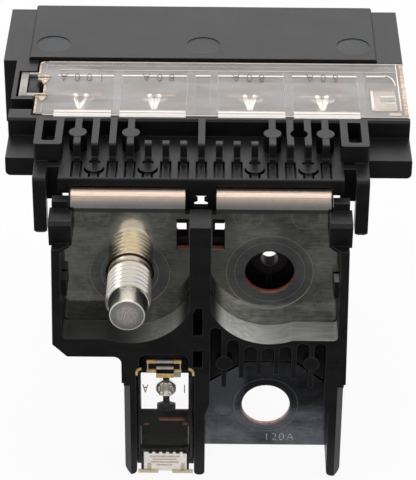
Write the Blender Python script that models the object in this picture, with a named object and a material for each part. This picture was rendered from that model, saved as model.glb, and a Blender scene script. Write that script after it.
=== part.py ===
"""Battery fusible link block: one bent bus bar, overmoulded top and front, with five fuse links.

The bus bar is folded through a right angle. Its level half carries the upper housing, where four
links cross a clear-covered window to the connector blades. Its upright half carries the lower frame,
with the stud, the battery hole, the fifth link and the alternator plate.

+X is right, +Y is back and +Z is up. While it is drawn, Y starts at the lower frame's front face and
Z at the upper housing's top face; one empty then moves the whole block to its centre.
Run it with: blender --background --python part.py
"""
import bpy
import bmesh
from math import atan2, ceil, cos, hypot, pi, sin, sqrt, tan
from mathutils import Matrix, Vector

mm = 0.001

# Fits
gap = 0.3 * mm                      # between pieces that seat on each other
overlap = 0.4 * mm                  # by which drawn forms reach into each other before they are united
beyond = 2.0 * mm                   # by which a cutter passes the face it opens

# Upper housing
block_width = 74.1 * mm
left_inset = 2.5 * mm               # the window box stands in from the connector block on the left
back_y = 66.6 * mm
slab_front_y = 45.4 * mm
wall_front_y = 23.8 * mm            # front face of the window box
flange_front_y = 15.9 * mm
ledge_front_y = 9.1 * mm
slab_rise = 0.8 * mm
slab_rise_width = block_width - 9.5 * mm
slab_chamfer = 0.5 * mm
connector_height = 13.0 * mm
box_height = 10.4 * mm
ledge_drop = 3.4 * mm               # from the top face to the ledge
ledge_lip = 3.0 * mm                # height of the ledge's front edge
flange_height = 3.6 * mm
flange_corner = 0.9 * mm
window_wall = 1.2 * mm
wall_chamfer = 0.35 * mm
window_right_wall = 1.5 * mm
window_left_wall = 4.0 * mm
seat_depth = 4.2 * mm               # the covers drop this far into the box
under_seat = 1.0 * mm               # from the bar's top face down to the underside cover's seat
seat_width = 1.0 * mm
ejector_radius = 3.15 * mm
ejector_depth = 0.15 * mm
ejector_y = 50.7 * mm
ejector_pitch = block_width / 2 - 8.95 * mm

# Comb of ribs in front of the window box
rib_reach = 7                       # ribs to each side of the middle one
rib_margin = 3.045 * mm             # from the last rib to the ledge's end
rib_width = 1.2 * mm
rib_front_y = 15.2 * mm
rib_chamfer = 0.4 * mm
post_length = 1.6 * mm              # the short ribs are only posts
slot_width = 1.95 * mm
slot_floor = -4.6 * mm
strip_drop = 0.35 * mm              # the rib's low strip lies this far below the ledge
pad_radius = 1.57 * mm
pad_y = 19.2 * mm
low_pad_y = 13.0 * mm

# Lower frame's width, which the loops, arms and comb above it follow
frame_inset = 10.95 * mm            # the connector block stands out past the frame on each side
frame_half = block_width / 2 - frame_inset

# Box loops, hook arms and middle tongue
loop_inner = frame_half - 1.65 * mm
loop_outer = frame_half + 3.3 * mm
ledge_half = loop_inner + overlap
rib_pitch = (ledge_half - rib_margin) / rib_reach
loop_front_y = 15.0 * mm
loop_side = 1.3 * mm
arm_inner = frame_half + 0.9 * mm
arm_outer = frame_half + 3.2 * mm
arm_front_y = 9.0 * mm
arm_thickness = 3.0 * mm
arm_bottom = 15.0 * mm
web_front_y = 13.0 * mm
web_thickness = 1.4 * mm
web_bottom = 10.0 * mm
tongue_half = 2.65 * mm
tongue_thickness = 0.9 * mm
tongue_bottom = 10.9 * mm
tongue_window = 1.15 * mm
tongue_window_top = 6.75 * mm
tongue_window_height = 2.2 * mm

# Connector sockets
socket_width = block_width / 2 - 8.05 * mm
socket_height = 9.8 * mm
socket_depth = 18.0 * mm
socket_pitch = block_width / 4 - 1.525 * mm
socket_corner = 1.0 * mm
key_width = 1.6 * mm
key_height = 1.3 * mm

# Bus bar
bar_thickness = 1.5 * mm
bar_top = 5.2 * mm                  # below the top face
plate_y = 6.0 * mm                  # front face of the upright half
bend_radius = 2.8 * mm              # outside
plate_half = frame_half - 1.2 * mm
bar_half = plate_half - 2.3 * mm
plate_shoulder = 9.2 * mm
bar_rear_y = 23.0 * mm
bar_wing_half = plate_half - 0.2 * mm   # the bar widens at its rear edge to reach the outer links
bar_wing_y = 19.5 * mm
bar_split_half = 2.7 * mm
bar_split_y = 14.0 * mm
bar_split_bottom = 8.7 * mm
plate_slot_inner = 2.05 * mm
plate_slot_outer = 4.2 * mm
plate_slot_top = 9.6 * mm
plate_slot_bottom = 15.75 * mm
terminal_z = 20.6 * mm
battery_hole = 8.8 * mm
seat_coin = 0.1 * mm                # the round seats are pressed this deep into the sheets
battery_seat = 7.65 * mm
stud_seat = 7.0 * mm
feed_left = -9.6 * mm
feed_right = -2.9 * mm
feed_bottom = 42.0 * mm

# Lower frame
frame_depth = 10.3 * mm
frame_draft = 0.4 * mm              # the sides lean in by this much at the top
leg_step = 40.6 * mm
leg_step_in = 0.35 * mm
frame_top = 12.3 * mm
leg_bottom = 61.3 * mm
rim_inner = frame_half - 1.8 * mm
terminal_pitch = (rim_inner + 0.1 * mm) / 2   # half the distance from stud to battery hole
lobe_radius = terminal_pitch - 1.0 * mm
recess_bottom = terminal_z + lobe_radius * 0.92857
plate_bottom = recess_bottom + 1.3 * mm
frame_bottom = plate_bottom + 2.55 * mm
post_half = 1.85 * mm
post_top = 7.4 * mm
corner_inner = frame_half - 3.85 * mm
corner_outer = frame_half + 0.1 * mm
corner_top = 7.7 * mm
corner_front_y = 1.4 * mm
corner_foot_y = 2.05 * mm
corner_back_y = 6.4 * mm
corner_chamfer = 0.6 * mm
upstand_top = 6.2 * mm
upstand_inner = frame_half - 3.1 * mm
upstand_outer = frame_half - 0.3 * mm
post_lip = 1.1 * mm
back_wall_top = 9.6 * mm
notch_top = 20.5 * mm
notch_bottom = 23.9 * mm
notch_reach = 0.85 * mm
cup_radius = 9.3 * mm
cup_bore = 7.9 * mm
cup_floor_y = 11.6 * mm
cup_floor = 2.0 * mm
drain_radius = 1.55 * mm
drain_ring = 3.2 * mm
drain_ring_height = 1.0 * mm
see_through_top = 11.3 * mm
see_through_bottom = 14.4 * mm
pocket_left = -1.25 * mm
pocket_right = 0.45 * mm
pocket_depth = 5.0 * mm

# Fuse holder at the foot of the frame
holder_left = -13.95 * mm
holder_inner_left = -11.4 * mm
holder_inner_right = -1.0 * mm
holder_right = 0.95 * mm
arch_top = 34.2 * mm
holder_top = 41.4 * mm
arch_depth = 5.0 * mm
low_cover_top = 38.5 * mm

# Alternator plate and the comb over it
alt_thickness = 0.8 * mm
bay_left = 1.75 * mm
bay_right = frame_half - 3.8 * mm
alt_centre_x = (bay_left + bay_right) / 2 + 0.025 * mm
alt_centre_z = 49.7 * mm
alt_hole = 8.8 * mm
alt_seat = 5.86 * mm
alt_left = 0.6 * mm
alt_right = frame_half - 2.6 * mm
alt_bottom = 58.85 * mm
alt_arm_top = 51.4 * mm
alt_arm_bottom = 59.6 * mm
alt_top = 40.1 * mm
alt_top_half = 4.4 * mm
alt_shoulder = 46.2 * mm
opening_top = 41.5 * mm
opening_shoulder = 48.9 * mm
leg_inner = frame_half - 2.9 * mm
bay_flare_top = 45.2 * mm
bay_flare_bottom = 47.7 * mm
comb_pitch = (bay_right - bay_left) / 6.629
comb_slot = comb_pitch * 0.7097
comb_end = 38.4 * mm
comb_long_end = 41.25 * mm
comb_centre_x = alt_centre_x
comb_ring = lobe_radius + 0.9 * mm  # the slots' round ends follow this circle about the battery hole
comb_right_top = recess_bottom + 0.6 * mm
knob_radius = 1.45 * mm
knob_z = 35.9 * mm

# Stud bolt
stud_x = -terminal_pitch - 0.25 * mm
stud_z = terminal_z + 0.45 * mm
stud_radius = 3.95 * mm
stud_tip_y = -7.0 * mm
stud_thread_end_y = -3.2 * mm
stud_lead_radius = 3.5 * mm
stud_tip_radius = 3.15 * mm
stud_head_flats = 12.0 * mm
stud_head_height = 3.5 * mm
stud_clearance = 0.35 * mm

# Links, beads and blades
link_outer = block_width / 2 - 14.65 * mm
link_inner = link_outer - 13.5 * mm
link_x = (-link_outer, -link_inner, link_inner, link_outer - 0.1 * mm)
link_names = ("100a", "80a_left", "80a_right", "60a")
link_thickness = 0.6 * mm
link_width = 1.3 * mm
link_tab = 4.4 * mm
link_rise = 3.0 * mm
link_crown_y = 31.4 * mm
link_rear_y = 43.5 * mm
bead_width = 2.5 * mm
bead_length = 3.6 * mm
bead_height = 1.0 * mm
blade_width = 7.8 * mm
blade_thickness = 0.8 * mm
blade_tip_y = 63.0 * mm
low_link_x = -6.15 * mm
low_bead_radius = 1.75 * mm
low_bead_z = 45.3 * mm

# Clear covers
cover_sheet = 1.1 * mm
cover_wall = 1.0 * mm
cover_proud = 0.2 * mm
cover_left = left_inset - block_width / 2 + window_left_wall + 0.35 * mm
cover_flange = block_width / 2 - 0.15 * mm
divider_width = 1.3 * mm
divider_inner = 2.1 * mm
divider_outer = (link_inner + link_outer) / 2 - 0.2 * mm
divider_x = (-divider_outer + 0.05 * mm, -divider_inner, divider_inner, divider_outer + 0.05 * mm,
             link_outer + 6.4 * mm)
latch_length = 9.0 * mm
latch_reach = 3.5 * mm
latch_bar = 1.0 * mm
latch_y = 36.6 * mm
catch_width = 5.4 * mm
low_cover_front_y = 0.6 * mm
low_cover_bottom = 60.9 * mm
low_latch_half = 3.2 * mm
low_latch_top = 35.5 * mm
low_latch_bar = 0.8 * mm


def empty_scene():
    for thing in list(bpy.data.objects):
        bpy.data.objects.remove(thing)


def make_material(name, colour, roughness, metallic=0.0, alpha=1.0):
    material = bpy.data.materials.new(name)
    material.use_nodes = True
    shader = material.node_tree.nodes["Principled BSDF"]
    shader.inputs["Base Color"].default_value = (*colour, 1.0)
    shader.inputs["Roughness"].default_value = roughness
    shader.inputs["Metallic"].default_value = metallic
    shader.inputs["Alpha"].default_value = alpha
    material.diffuse_color = (*colour, alpha)
    return material


def fillet(corners, step=0.35):
    """Outline points from (a, b) or (a, b, radius) corners, each radius drawn as an arc."""
    points = []
    count = len(corners)
    for index, corner in enumerate(corners):
        here = Vector(corner[:2])
        radius = corner[2] if len(corner) > 2 else 0.0
        before = Vector(corners[index - 1][:2]) - here
        after = Vector(corners[(index + 1) % count][:2]) - here
        if radius <= 0.0:
            points.append(here)
            continue
        half = before.angle(after) / 2
        reach = min(radius / tan(half), before.length * 0.49, after.length * 0.49)
        radius = reach * tan(half)
        centre = here + (before.normalized() + after.normalized()).normalized() * hypot(reach, radius)
        start = here + before.normalized() * reach - centre
        turn = atan2(start.cross(here + after.normalized() * reach - centre),
                     start.dot(here + after.normalized() * reach - centre))
        pieces = max(2, ceil(abs(turn) / step))
        points += [centre + Matrix.Rotation(turn * n / pieces, 2) @ start for n in range(pieces + 1)]
    return points


def circle(centre_a, centre_b, radius, sides=28):
    return [Vector((centre_a + radius * cos(2 * pi * n / sides), centre_b + radius * sin(2 * pi * n / sides)))
            for n in range(sides)]


def arc(centre_a, centre_b, radius, start, end, sides=16):
    return [Vector((centre_a + radius * cos(start + (end - start) * n / sides),
                    centre_b + radius * sin(start + (end - start) * n / sides))) for n in range(sides + 1)]


def placed(axis, a, b, depth):
    """A drawing's point in space: the plane is YZ for axis X, XZ for axis Y and XY for axis Z."""
    return {"X": Vector((depth, a, b)), "Y": Vector((a, depth, b)), "Z": Vector((a, b, depth))}[axis]


def add_object(name, shape):
    mesh = bpy.data.meshes.new(name)
    bmesh.ops.recalc_face_normals(shape, faces=shape.faces)
    shape.to_mesh(mesh)
    shape.free()
    thing = bpy.data.objects.new(name, mesh)
    bpy.context.scene.collection.objects.link(thing)
    return thing


def prism(axis, outline, low, high, name="form"):
    """A solid that carries an outline along one axis from low to high."""
    shape = bmesh.new()
    face = shape.faces.new([shape.verts.new(placed(axis, point[0], point[1], low)) for point in outline])
    swept = bmesh.ops.extrude_face_region(shape, geom=[face])
    moved = [item for item in swept["geom"] if isinstance(item, bmesh.types.BMVert)]
    bmesh.ops.translate(shape, verts=moved, vec=placed(axis, 0.0, 0.0, high - low))
    return add_object(name, shape)


def box(x_low, x_high, y_low, y_high, z_low, z_high):
    return prism("Z", [(x_low, y_low), (x_high, y_low), (x_high, y_high), (x_low, y_high)], z_low, z_high)


def turned(profile, centre, axis, sides=32, name="form"):
    """A solid of revolution from (radius, distance along the axis) points, whose ends lie on the axis."""
    shape = bmesh.new()
    along = {"X": Vector((1, 0, 0)), "Y": Vector((0, 1, 0)), "Z": Vector((0, 0, 1))}[axis]
    across = {"X": Vector((0, 1, 0)), "Y": Vector((1, 0, 0)), "Z": Vector((1, 0, 0))}[axis]
    verts = [shape.verts.new(Vector(centre) + across * radius + along * far) for radius, far in profile]
    edges = [shape.edges.new(pair) for pair in zip(verts, verts[1:])]
    bmesh.ops.spin(shape, geom=verts + edges, cent=centre, axis=along, angle=2 * pi, steps=sides,
                   use_merge=True)
    bmesh.ops.remove_doubles(shape, verts=shape.verts, dist=1e-6)
    return add_object(name, shape)


def ribbon(stations, name="form"):
    """A strip through (x, y, z, half width, half thickness, across) stations, thick along its normal."""
    shape = bmesh.new()
    rings = []
    for index, station in enumerate(stations):
        spot, half_width, half_thick, across = Vector(station[0]), station[1], station[2], Vector(station[3])
        before = Vector(stations[max(index - 1, 0)][0])
        after = Vector(stations[min(index + 1, len(stations) - 1)][0])
        normal = across.cross(after - before).normalized()
        corners = ((-1, -1), (1, -1), (1, 1), (-1, 1))
        rings.append([shape.verts.new(spot + across * half_width * s + normal * half_thick * t)
                      for s, t in corners])
    for first, second in zip(rings, rings[1:]):
        for n in range(4):
            shape.faces.new((first[n], first[(n + 1) % 4], second[(n + 1) % 4], second[n]))
    shape.faces.new(rings[0])
    shape.faces.new(rings[-1])
    return add_object(name, shape)


def gather(forms, name="form"):
    """Puts solids that don't meet into one object, to be united or cut in one go."""
    shape = bmesh.new()
    for form in forms:
        shape.from_mesh(form.data)
        bpy.data.objects.remove(form)
    return add_object(name, shape)


def shaped_by(body, tool, operation):
    """Applies one boolean and removes its tool."""
    modifier = body.modifiers.new("shape", "BOOLEAN")
    modifier.operation = operation
    modifier.solver = "EXACT"
    modifier.object = tool
    graph = bpy.context.evaluated_depsgraph_get()
    mesh = bpy.data.meshes.new_from_object(body.evaluated_get(graph))
    body.modifiers.clear()
    old = body.data
    body.data = mesh
    bpy.data.meshes.remove(old)
    bpy.data.objects.remove(tool)
    return body


def unite(body, *forms):
    for form in forms:
        shaped_by(body, form, "UNION")
    return body


def cut(body, *forms):
    for form in forms:
        shaped_by(body, form, "DIFFERENCE")
    return body


def mirrored(corners):
    """The outline on the other side of X = 0, with its points in the same turning sense."""
    return [(-corner[0], *corner[1:]) for corner in reversed(corners)]


def finish(thing, name, material, root):
    shape = bmesh.new()
    shape.from_mesh(thing.data)
    bmesh.ops.remove_doubles(shape, verts=shape.verts, dist=2e-7)
    bmesh.ops.dissolve_limit(shape, angle_limit=0.001, verts=shape.verts, edges=shape.edges)
    bmesh.ops.triangulate(shape, faces=shape.faces)
    shape.to_mesh(thing.data)
    shape.free()
    thing.name = name
    thing.data.name = name
    thing.data.materials.clear()
    thing.data.materials.append(material)
    thing.data.shade_smooth()
    thing.data.set_sharp_from_angle(angle=0.6)
    thing.parent = root
    return thing


def rib_kinds():
    """Each rib's number and whether it is a short post: three to each side of the middle one are."""
    return [(number, 1 <= abs(number) <= 3) for number in range(-rib_reach, rib_reach + 1)]


def upper_body():
    half = block_width / 2
    body = prism("X", fillet([(slab_front_y, -connector_height), (back_y, -connector_height, slab_chamfer),
                              (back_y, 0.0, slab_chamfer), (slab_front_y, 0.0)]), -half, half)
    rise = slab_rise_width / 2
    raised = prism("Y", fillet([(-rise, -overlap), (rise, -overlap), (rise, slab_rise, slab_chamfer),
                                (-rise, slab_rise, slab_chamfer)]), slab_front_y, back_y - slab_chamfer / 2)
    window_box = prism("X", [(wall_front_y, -box_height), (slab_front_y + overlap, -box_height),
                             (slab_front_y + overlap, 0.0), (wall_front_y + wall_chamfer, 0.0),
                             (wall_front_y, -wall_chamfer)], left_inset - half, half)
    return unite(body, raised, window_box)


def ledge():
    under_y = ledge_front_y + 4.4 * mm
    profile = [(wall_front_y + overlap, -ledge_drop), (ledge_front_y, -ledge_drop, 0.3 * mm),
               (ledge_front_y, -ledge_drop - ledge_lip), (under_y, -ledge_drop - ledge_lip),
               (under_y + 1.5 * mm, -box_height + 1.8 * mm), (wall_front_y + overlap, -box_height + overlap)]
    return prism("X", fillet(profile), -ledge_half, ledge_half)


def flange(side):
    outer = block_width / 2 if side > 0 else block_width / 2 - left_inset
    corners = [(loop_outer - overlap, -ledge_drop - flange_height), (outer, -ledge_drop - flange_height,
               flange_corner), (outer, -ledge_drop, 0.2 * mm), (loop_outer - overlap, -ledge_drop)]
    if side < 0:
        corners = mirrored(corners)
    return prism("Y", fillet(corners), flange_front_y, wall_front_y + overlap)


def loop(side):
    corners = [(loop_inner, loop_front_y, 0.5 * mm), (loop_outer, loop_front_y, 0.5 * mm),
               (loop_outer, wall_front_y + overlap), (loop_inner, wall_front_y + overlap)]
    if side < 0:
        corners = mirrored(corners)
    return prism("Z", fillet(corners), -ledge_drop - flange_height, 0.0)


def loop_opening(side):
    corners = [(loop_inner + loop_side, loop_front_y + loop_side, 0.5 * mm),
               (loop_outer - loop_side, loop_front_y + loop_side, 0.5 * mm),
               (loop_outer - loop_side, wall_front_y - 0.5 * mm), (loop_inner + loop_side,
                                                                   wall_front_y - 0.5 * mm)]
    if side < 0:
        corners = mirrored(corners)
    return prism("Z", fillet(corners), -box_height - beyond, beyond)


def hook_arm(side):
    rear = arm_front_y + arm_thickness
    root_y = loop_front_y + overlap
    profile = [(root_y, -ledge_drop), (arm_front_y, -ledge_drop, 0.7 * mm),
               (arm_front_y, -arm_bottom, 1.1 * mm),
               (rear, -arm_bottom, 1.1 * mm), (rear, -ledge_drop - flange_height, 0.6 * mm),
               (root_y, -ledge_drop - flange_height)]
    low, high = sorted((side * arm_inner, side * arm_outer))
    arm = prism("X", fillet(profile), low, high)
    corner = 0.8 * mm
    trims = []
    for edge, inward in ((low, 1), (high, -1)):
        trims.append(prism("Y",
                           [(edge + inward * corner, -arm_bottom),
                            (edge - inward * corner, -arm_bottom + 2 * corner),
                                 (edge - inward * corner, -arm_bottom - corner),
                                 (edge + inward * corner, -arm_bottom - corner)], 0.0, root_y))
    return cut(arm, gather(trims))


def arm_web(side):
    """The web between an arm's root and the ledge's end."""
    low, high = sorted((side * (ledge_half - overlap), side * (arm_inner + overlap)))
    return box(low, high, web_front_y, web_front_y + web_thickness, -web_bottom, -ledge_drop)


def loop_bar(side):
    """The small bar low at the back of a loop's opening."""
    middle = side * (loop_inner + loop_outer) / 2
    rear = wall_front_y - 0.4 * mm
    return box(middle - 0.85 * mm, middle + 0.85 * mm, rear - 0.8 * mm, rear, -ledge_drop - 1.0 * mm,
               -ledge_drop)


def tongue():
    low = -tongue_bottom
    plate = prism("Y", fillet([(-tongue_half, low, 0.4 * mm), (tongue_half, low, 0.4 * mm),
                               (tongue_half, -bar_top), (-tongue_half, -bar_top)]),
                  ledge_front_y, ledge_front_y + tongue_thickness)
    top = -tongue_window_top
    bottom = top - tongue_window_height
    waist = tongue_window / 2
    window = prism("Y", [(-tongue_window, bottom), (tongue_window, bottom),
                         (tongue_window, bottom + 0.9 * mm),
                         (waist, bottom + 1.1 * mm), (waist, top - 0.7 * mm), (tongue_window, top - 0.5 * mm),
                         (tongue_window, top), (-tongue_window, top), (-tongue_window, top - 0.5 * mm),
                         (-waist, top - 0.7 * mm), (-waist, bottom + 1.1 * mm), (-tongue_window,
                                                                                 bottom + 0.9 * mm)],
                   ledge_front_y - beyond, ledge_front_y + tongue_thickness + beyond)
    return cut(plate, window)


def comb_ribs():
    """Tall ribs and posts on the ledge, in one gathered form, and the round pads of the tall ones."""
    ribs = []
    for number, is_post in rib_kinds():
        centre = number * rib_pitch
        rear = rib_front_y + post_length if is_post else wall_front_y + wall_chamfer + 0.1 * mm
        rear_radius = 0.35 * mm if is_post else 0.0
        profile = fillet([(rib_front_y, -ledge_drop - overlap), (rib_front_y, 0.0, rib_chamfer),
                          (rear, 0.0, rear_radius), (rear, -ledge_drop - overlap)])
        ribs.append(prism("X", profile, centre - rib_width / 2, centre + rib_width / 2))
    return gather(ribs)


def comb_pads():
    spots = [number * rib_pitch for number in (-7, -4, 4, 7)]
    return gather([prism("Z", circle(spot, pad_y, pad_radius, 20), -ledge_drop - overlap, 0.05 * mm)
                   for spot in spots])


def rib_notch():
    centre = 5.5 * rib_pitch
    return prism("Z", circle(centre, pad_y, pad_radius, 20), -ledge_drop + 0.01 * mm, beyond)


def ledge_slots():
    """Slots in the ledge ahead of every rib, opened by a round hole where a low pad stands."""
    slots = []
    for number, _ in rib_kinds():
        centre = number * rib_pitch
        half = slot_width / 2
        slots.append(prism("Z",
                           [(centre - half, ledge_front_y + 0.5 * mm),
                            (centre + half, ledge_front_y + 0.5 * mm),
                                 (centre + half, rib_front_y - 0.01 * mm), (centre - half,
                                                                            rib_front_y - 0.01 * mm)],
                           slot_floor, -ledge_drop + beyond))
    return gather(slots)


def low_pad_numbers():
    return (-6, -3, 3, 6)


def low_pad_holes():
    return gather([prism("Z", circle(number * rib_pitch, low_pad_y - 0.7 * mm, pad_radius + 0.25 * mm, 20),
                         slot_floor, -ledge_drop + beyond) for number in low_pad_numbers()])


def low_strips():
    strips = []
    bottom = slot_floor - 0.15 * mm
    for number, _ in rib_kinds():
        centre = number * rib_pitch
        profile = fillet([(ledge_front_y + 0.4 * mm, bottom),
                          (ledge_front_y + 0.4 * mm, -ledge_drop - strip_drop),
                          (rib_front_y - 0.5 * mm, -ledge_drop - strip_drop),
                          (rib_front_y - 0.4 * mm, -ledge_drop + 0.8 * mm, 0.1 * mm),
                          (rib_front_y + overlap, -ledge_drop + 0.8 * mm), (rib_front_y + overlap, bottom)])
        strips.append(prism("X", profile, centre - rib_width / 2, centre + rib_width / 2))
    return gather(strips)


def low_pads():
    return gather([prism("Z", circle(number * rib_pitch, low_pad_y, pad_radius, 20), slot_floor - 0.15 * mm,
                         -ledge_drop + 0.02 * mm) for number in low_pad_numbers()])


def window_opening():
    """The stepped opening for both covers, with a seat between them that the bar and links cross."""
    half = block_width / 2
    left = left_inset - half + window_left_wall
    right = half - window_right_wall
    front = wall_front_y + window_wall
    upper = box(left, right, front, slab_front_y, -seat_depth, beyond)
    lower = box(left, right, front, slab_front_y, -box_height - beyond, -bar_top - under_seat)
    middle = box(left + seat_width, right - seat_width, front + seat_width, slab_front_y - seat_width,
                 -box_height, 0.0)
    flange_seat = box(right - overlap, half + beyond, front, slab_front_y, -cover_sheet - gap + cover_proud,
                      beyond)
    return unite(upper, lower, middle, flange_seat)


def bar_groove():
    """Where the level half of the bus bar lies, split about the tongue at the front."""
    half = bar_half + gap
    split = bar_split_half - gap
    low = -bar_top - bar_thickness - gap
    high = -bar_top + gap
    front = ledge_front_y - beyond
    left = box(-half, -split, front, bar_split_y + overlap, low, high)
    right = box(split, half, front, bar_split_y + overlap, low, high)
    rear = box(-half, half, bar_split_y, bar_wing_y, low, high)
    wing = bar_wing_half + gap
    wings = box(-wing, wing, bar_wing_y - gap, wall_front_y + window_wall + seat_width + overlap, low, high)
    return unite(left, right, rear, wings)


def latch_recess():
    """The well at the box's left end that the cover's latch drops into."""
    outer = left_inset - block_width / 2
    wall = 0.8 * mm
    front = latch_y - latch_length / 2 - gap
    rear = latch_y + latch_length / 2 + gap
    return box(outer + wall, outer + window_left_wall + overlap, front, rear, -box_height + 1.2 * mm, beyond)


def front_left_relief():
    outer = left_inset - block_width / 2
    front = wall_front_y + window_wall + 2.2 * mm
    rear = latch_y - latch_length / 2 - gap - 0.9 * mm
    return box(outer - beyond, outer + window_left_wall + overlap, front, rear, -2.4 * mm, beyond)


def latch_catch():
    """The upright catch inside the latch's loop."""
    outer = cover_left - latch_reach + latch_bar + gap
    inner = cover_left - 2 * gap
    foot = -box_height + 1.0 * mm
    profile = [(outer, foot), (inner, foot), (inner, -0.7 * mm), (outer + 0.6 * mm, -0.7 * mm),
               (outer, -1.6 * mm)]
    return prism("Y", profile, latch_y - catch_width / 2, latch_y + catch_width / 2)


def blade_slots():
    slots = []
    mid = -bar_top - bar_thickness / 2
    for spot in link_x:
        slots.append(box(spot - blade_width / 2 - gap, spot + blade_width / 2 + gap,
                         slab_front_y - seat_width - overlap,
                         back_y - socket_depth + overlap, mid - blade_thickness / 2 - gap, mid + blade_thickness / 2 + gap))
    return gather(slots)


def sockets():
    mid = -bar_top - bar_thickness / 2 - 0.2 * mm
    wells = []
    for side in (-1, 1):
        centre = side * socket_pitch
        left, right = centre - socket_width / 2, centre + socket_width / 2
        low, high = mid - socket_height / 2, mid + socket_height / 2
        key = key_width / 2
        wells.append(prism("Y",
                           fillet([(left, low, socket_corner), (centre - key, low),
                                   (centre - key, low + key_height),
                                        (centre + key, low + key_height), (centre + key, low),
                                        (right, low, socket_corner), (right, high, socket_corner),
                                        (left, high, socket_corner)]),
                           back_y - socket_depth, back_y + beyond))
    return gather(wells)


def ejector_marks():
    top = slab_rise
    return gather([prism("Z", circle(spot * ejector_pitch, ejector_y, ejector_radius, 32),
                         top - ejector_depth,
                         top + beyond) for spot in (-1, 0, 1)])


def make_upper_housing(root, material):
    body = upper_body()
    unite(body, ledge(), flange(-1), flange(1), loop(-1), loop(1), hook_arm(-1), hook_arm(1), arm_web(-1),
          arm_web(1))
    cut(body, window_opening(), loop_opening(-1), loop_opening(1))
    unite(body, loop_bar(-1), loop_bar(1))
    unite(body, comb_ribs(), comb_pads())
    cut(body, rib_notch(), ledge_slots(), low_pad_holes())
    cut(body, bar_groove())
    unite(body, low_strips(), low_pads(), tongue())
    cut(body, latch_recess(), front_left_relief())
    unite(body, latch_catch())
    cut(body, sockets(), blade_slots(), ejector_marks())
    return finish(body, "upper_housing", material, root)


def frame_outline():
    """The lower frame's outline from the front: rim, right leg, alternator bay, holder, chamfered corner."""
    foot = 1.0 * mm
    top_half = frame_half - frame_draft
    return fillet([(-top_half, -frame_top), (top_half, -frame_top), (frame_half, -leg_step),
                   (frame_half - leg_step_in, -leg_step), (frame_half - leg_step_in, -leg_bottom, foot),
                   (leg_inner, -leg_bottom, foot), (leg_inner, -opening_shoulder, foot),
                   (alt_centre_x + alt_top_half, -opening_top, 0.4 * mm),
                   (alt_centre_x - alt_top_half, -opening_top, 0.4 * mm), (holder_right, -opening_shoulder,
                                                                           foot),
                   (holder_right, -leg_bottom, 0.8 * mm),
                   (holder_inner_right, -leg_bottom, 0.8 * mm), (holder_inner_right, -holder_top),
                   (holder_inner_left, -holder_top), (holder_inner_left, -leg_bottom, foot),
                   (holder_left + leg_step_in, -leg_bottom, foot), (holder_left + leg_step_in, -leg_step),
                   (holder_left, -leg_step), (holder_left, -frame_bottom, 1.4 * mm),
                   (-frame_half + 2.55 * mm, -frame_bottom, 0.4 * mm),
                   (-frame_half, -frame_bottom + 2.6 * mm, 0.4 * mm)])


def recess(side):
    """One half of the front recess: straight at the rim, and round about the stud or the battery hole."""
    centre = terminal_pitch
    drop = recess_bottom - terminal_z
    start = -pi / 2 + atan2(sqrt(lobe_radius ** 2 - drop ** 2), drop)
    inner = centre - post_half
    end = -pi + atan2(sqrt(lobe_radius ** 2 - inner ** 2), inner)
    corners = [(post_half, 0.0), (rim_inner, 0.0), (rim_inner, -recess_bottom, 0.8 * mm)]
    outline = fillet(corners + [(centre, -recess_bottom)])[:-1]
    outline += arc(centre, -terminal_z, lobe_radius, start, end, 20)
    outline = [(point[0], point[1]) for point in outline]
    if side < 0:
        outline = mirrored(outline)
    return prism("Y", outline, -beyond, plate_y)


def plate_groove():
    low = plate_y - gap
    high = plate_y + bar_thickness + gap
    half = plate_half + gap
    shoulder = -plate_shoulder + gap
    face = box(-half, half, low, high, -plate_bottom - gap, shoulder)
    neck = box(-upstand_inner + 0.01 * mm, upstand_inner - 0.01 * mm, low, high, shoulder - overlap, 0.0)
    feed = box(feed_left - gap, feed_right + gap, low, high, -holder_top - beyond, -plate_bottom + overlap)
    return unite(face, neck, feed)


def corner_block(side):
    low = -frame_top - overlap
    profile = [(corner_back_y, low), (corner_back_y, -corner_top),
               (corner_front_y + corner_chamfer, -corner_top),
               (corner_front_y, -corner_top - corner_chamfer), (corner_foot_y, low)]
    inner, outer = sorted((side * corner_inner, side * corner_outer))
    block = prism("X", profile, inner, outer)
    inner, outer = sorted((side * upstand_inner, side * upstand_outer))
    upstand = box(inner, outer, corner_back_y - overlap, corner_back_y + 1.6 * mm, -frame_top - overlap,
                  -upstand_top)
    unite(block, upstand)
    shelf = [(rim_inner + overlap, 0.0), (rim_inner, 0.0), (corner_inner + 0.35 * mm, corner_foot_y),
             (corner_inner + 0.35 * mm, plate_y - gap), (rim_inner + overlap, plate_y - gap)]
    if side < 0:
        shelf = mirrored(shelf)
    return unite(block, prism("Z", shelf, -frame_top - 0.7 * mm, -frame_top))


def middle_post():
    profile = [(plate_y - gap, -frame_top - overlap), (plate_y - gap, -post_top), (post_lip, -post_top),
               (0.0, -post_top - 0.2 * mm), (0.0, -frame_top - overlap)]
    return prism("X", profile, -post_half, post_half)


def back_cup(side):
    """The round cup behind the plate: it holds the stud's head, or clears the battery bolt."""
    front = plate_y + bar_thickness + gap
    profile = [(0.0, front), (cup_radius, front), (cup_radius, cup_floor_y + cup_floor - 0.6 * mm),
               (cup_radius - 0.6 * mm, cup_floor_y + cup_floor), (0.0, cup_floor_y + cup_floor)]
    return turned(profile, (side * terminal_pitch, 0.0, -terminal_z), "Y", 36)


def cup_bore_form(side):
    """The cup's bore: the right one leaves a raised ring about its drain hole."""
    front = plate_y + bar_thickness - gap
    ring_y = cup_floor_y - drain_ring_height
    profile = [(0.0, front), (cup_bore, front), (cup_bore, cup_floor_y)]
    if side > 0:
        profile += [(drain_ring, cup_floor_y), (drain_ring, ring_y), (0.0, ring_y)]
    else:
        profile.append((0.0, cup_floor_y))
    return turned(profile, (side * terminal_pitch, 0.0, -terminal_z), "Y", 36)


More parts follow.
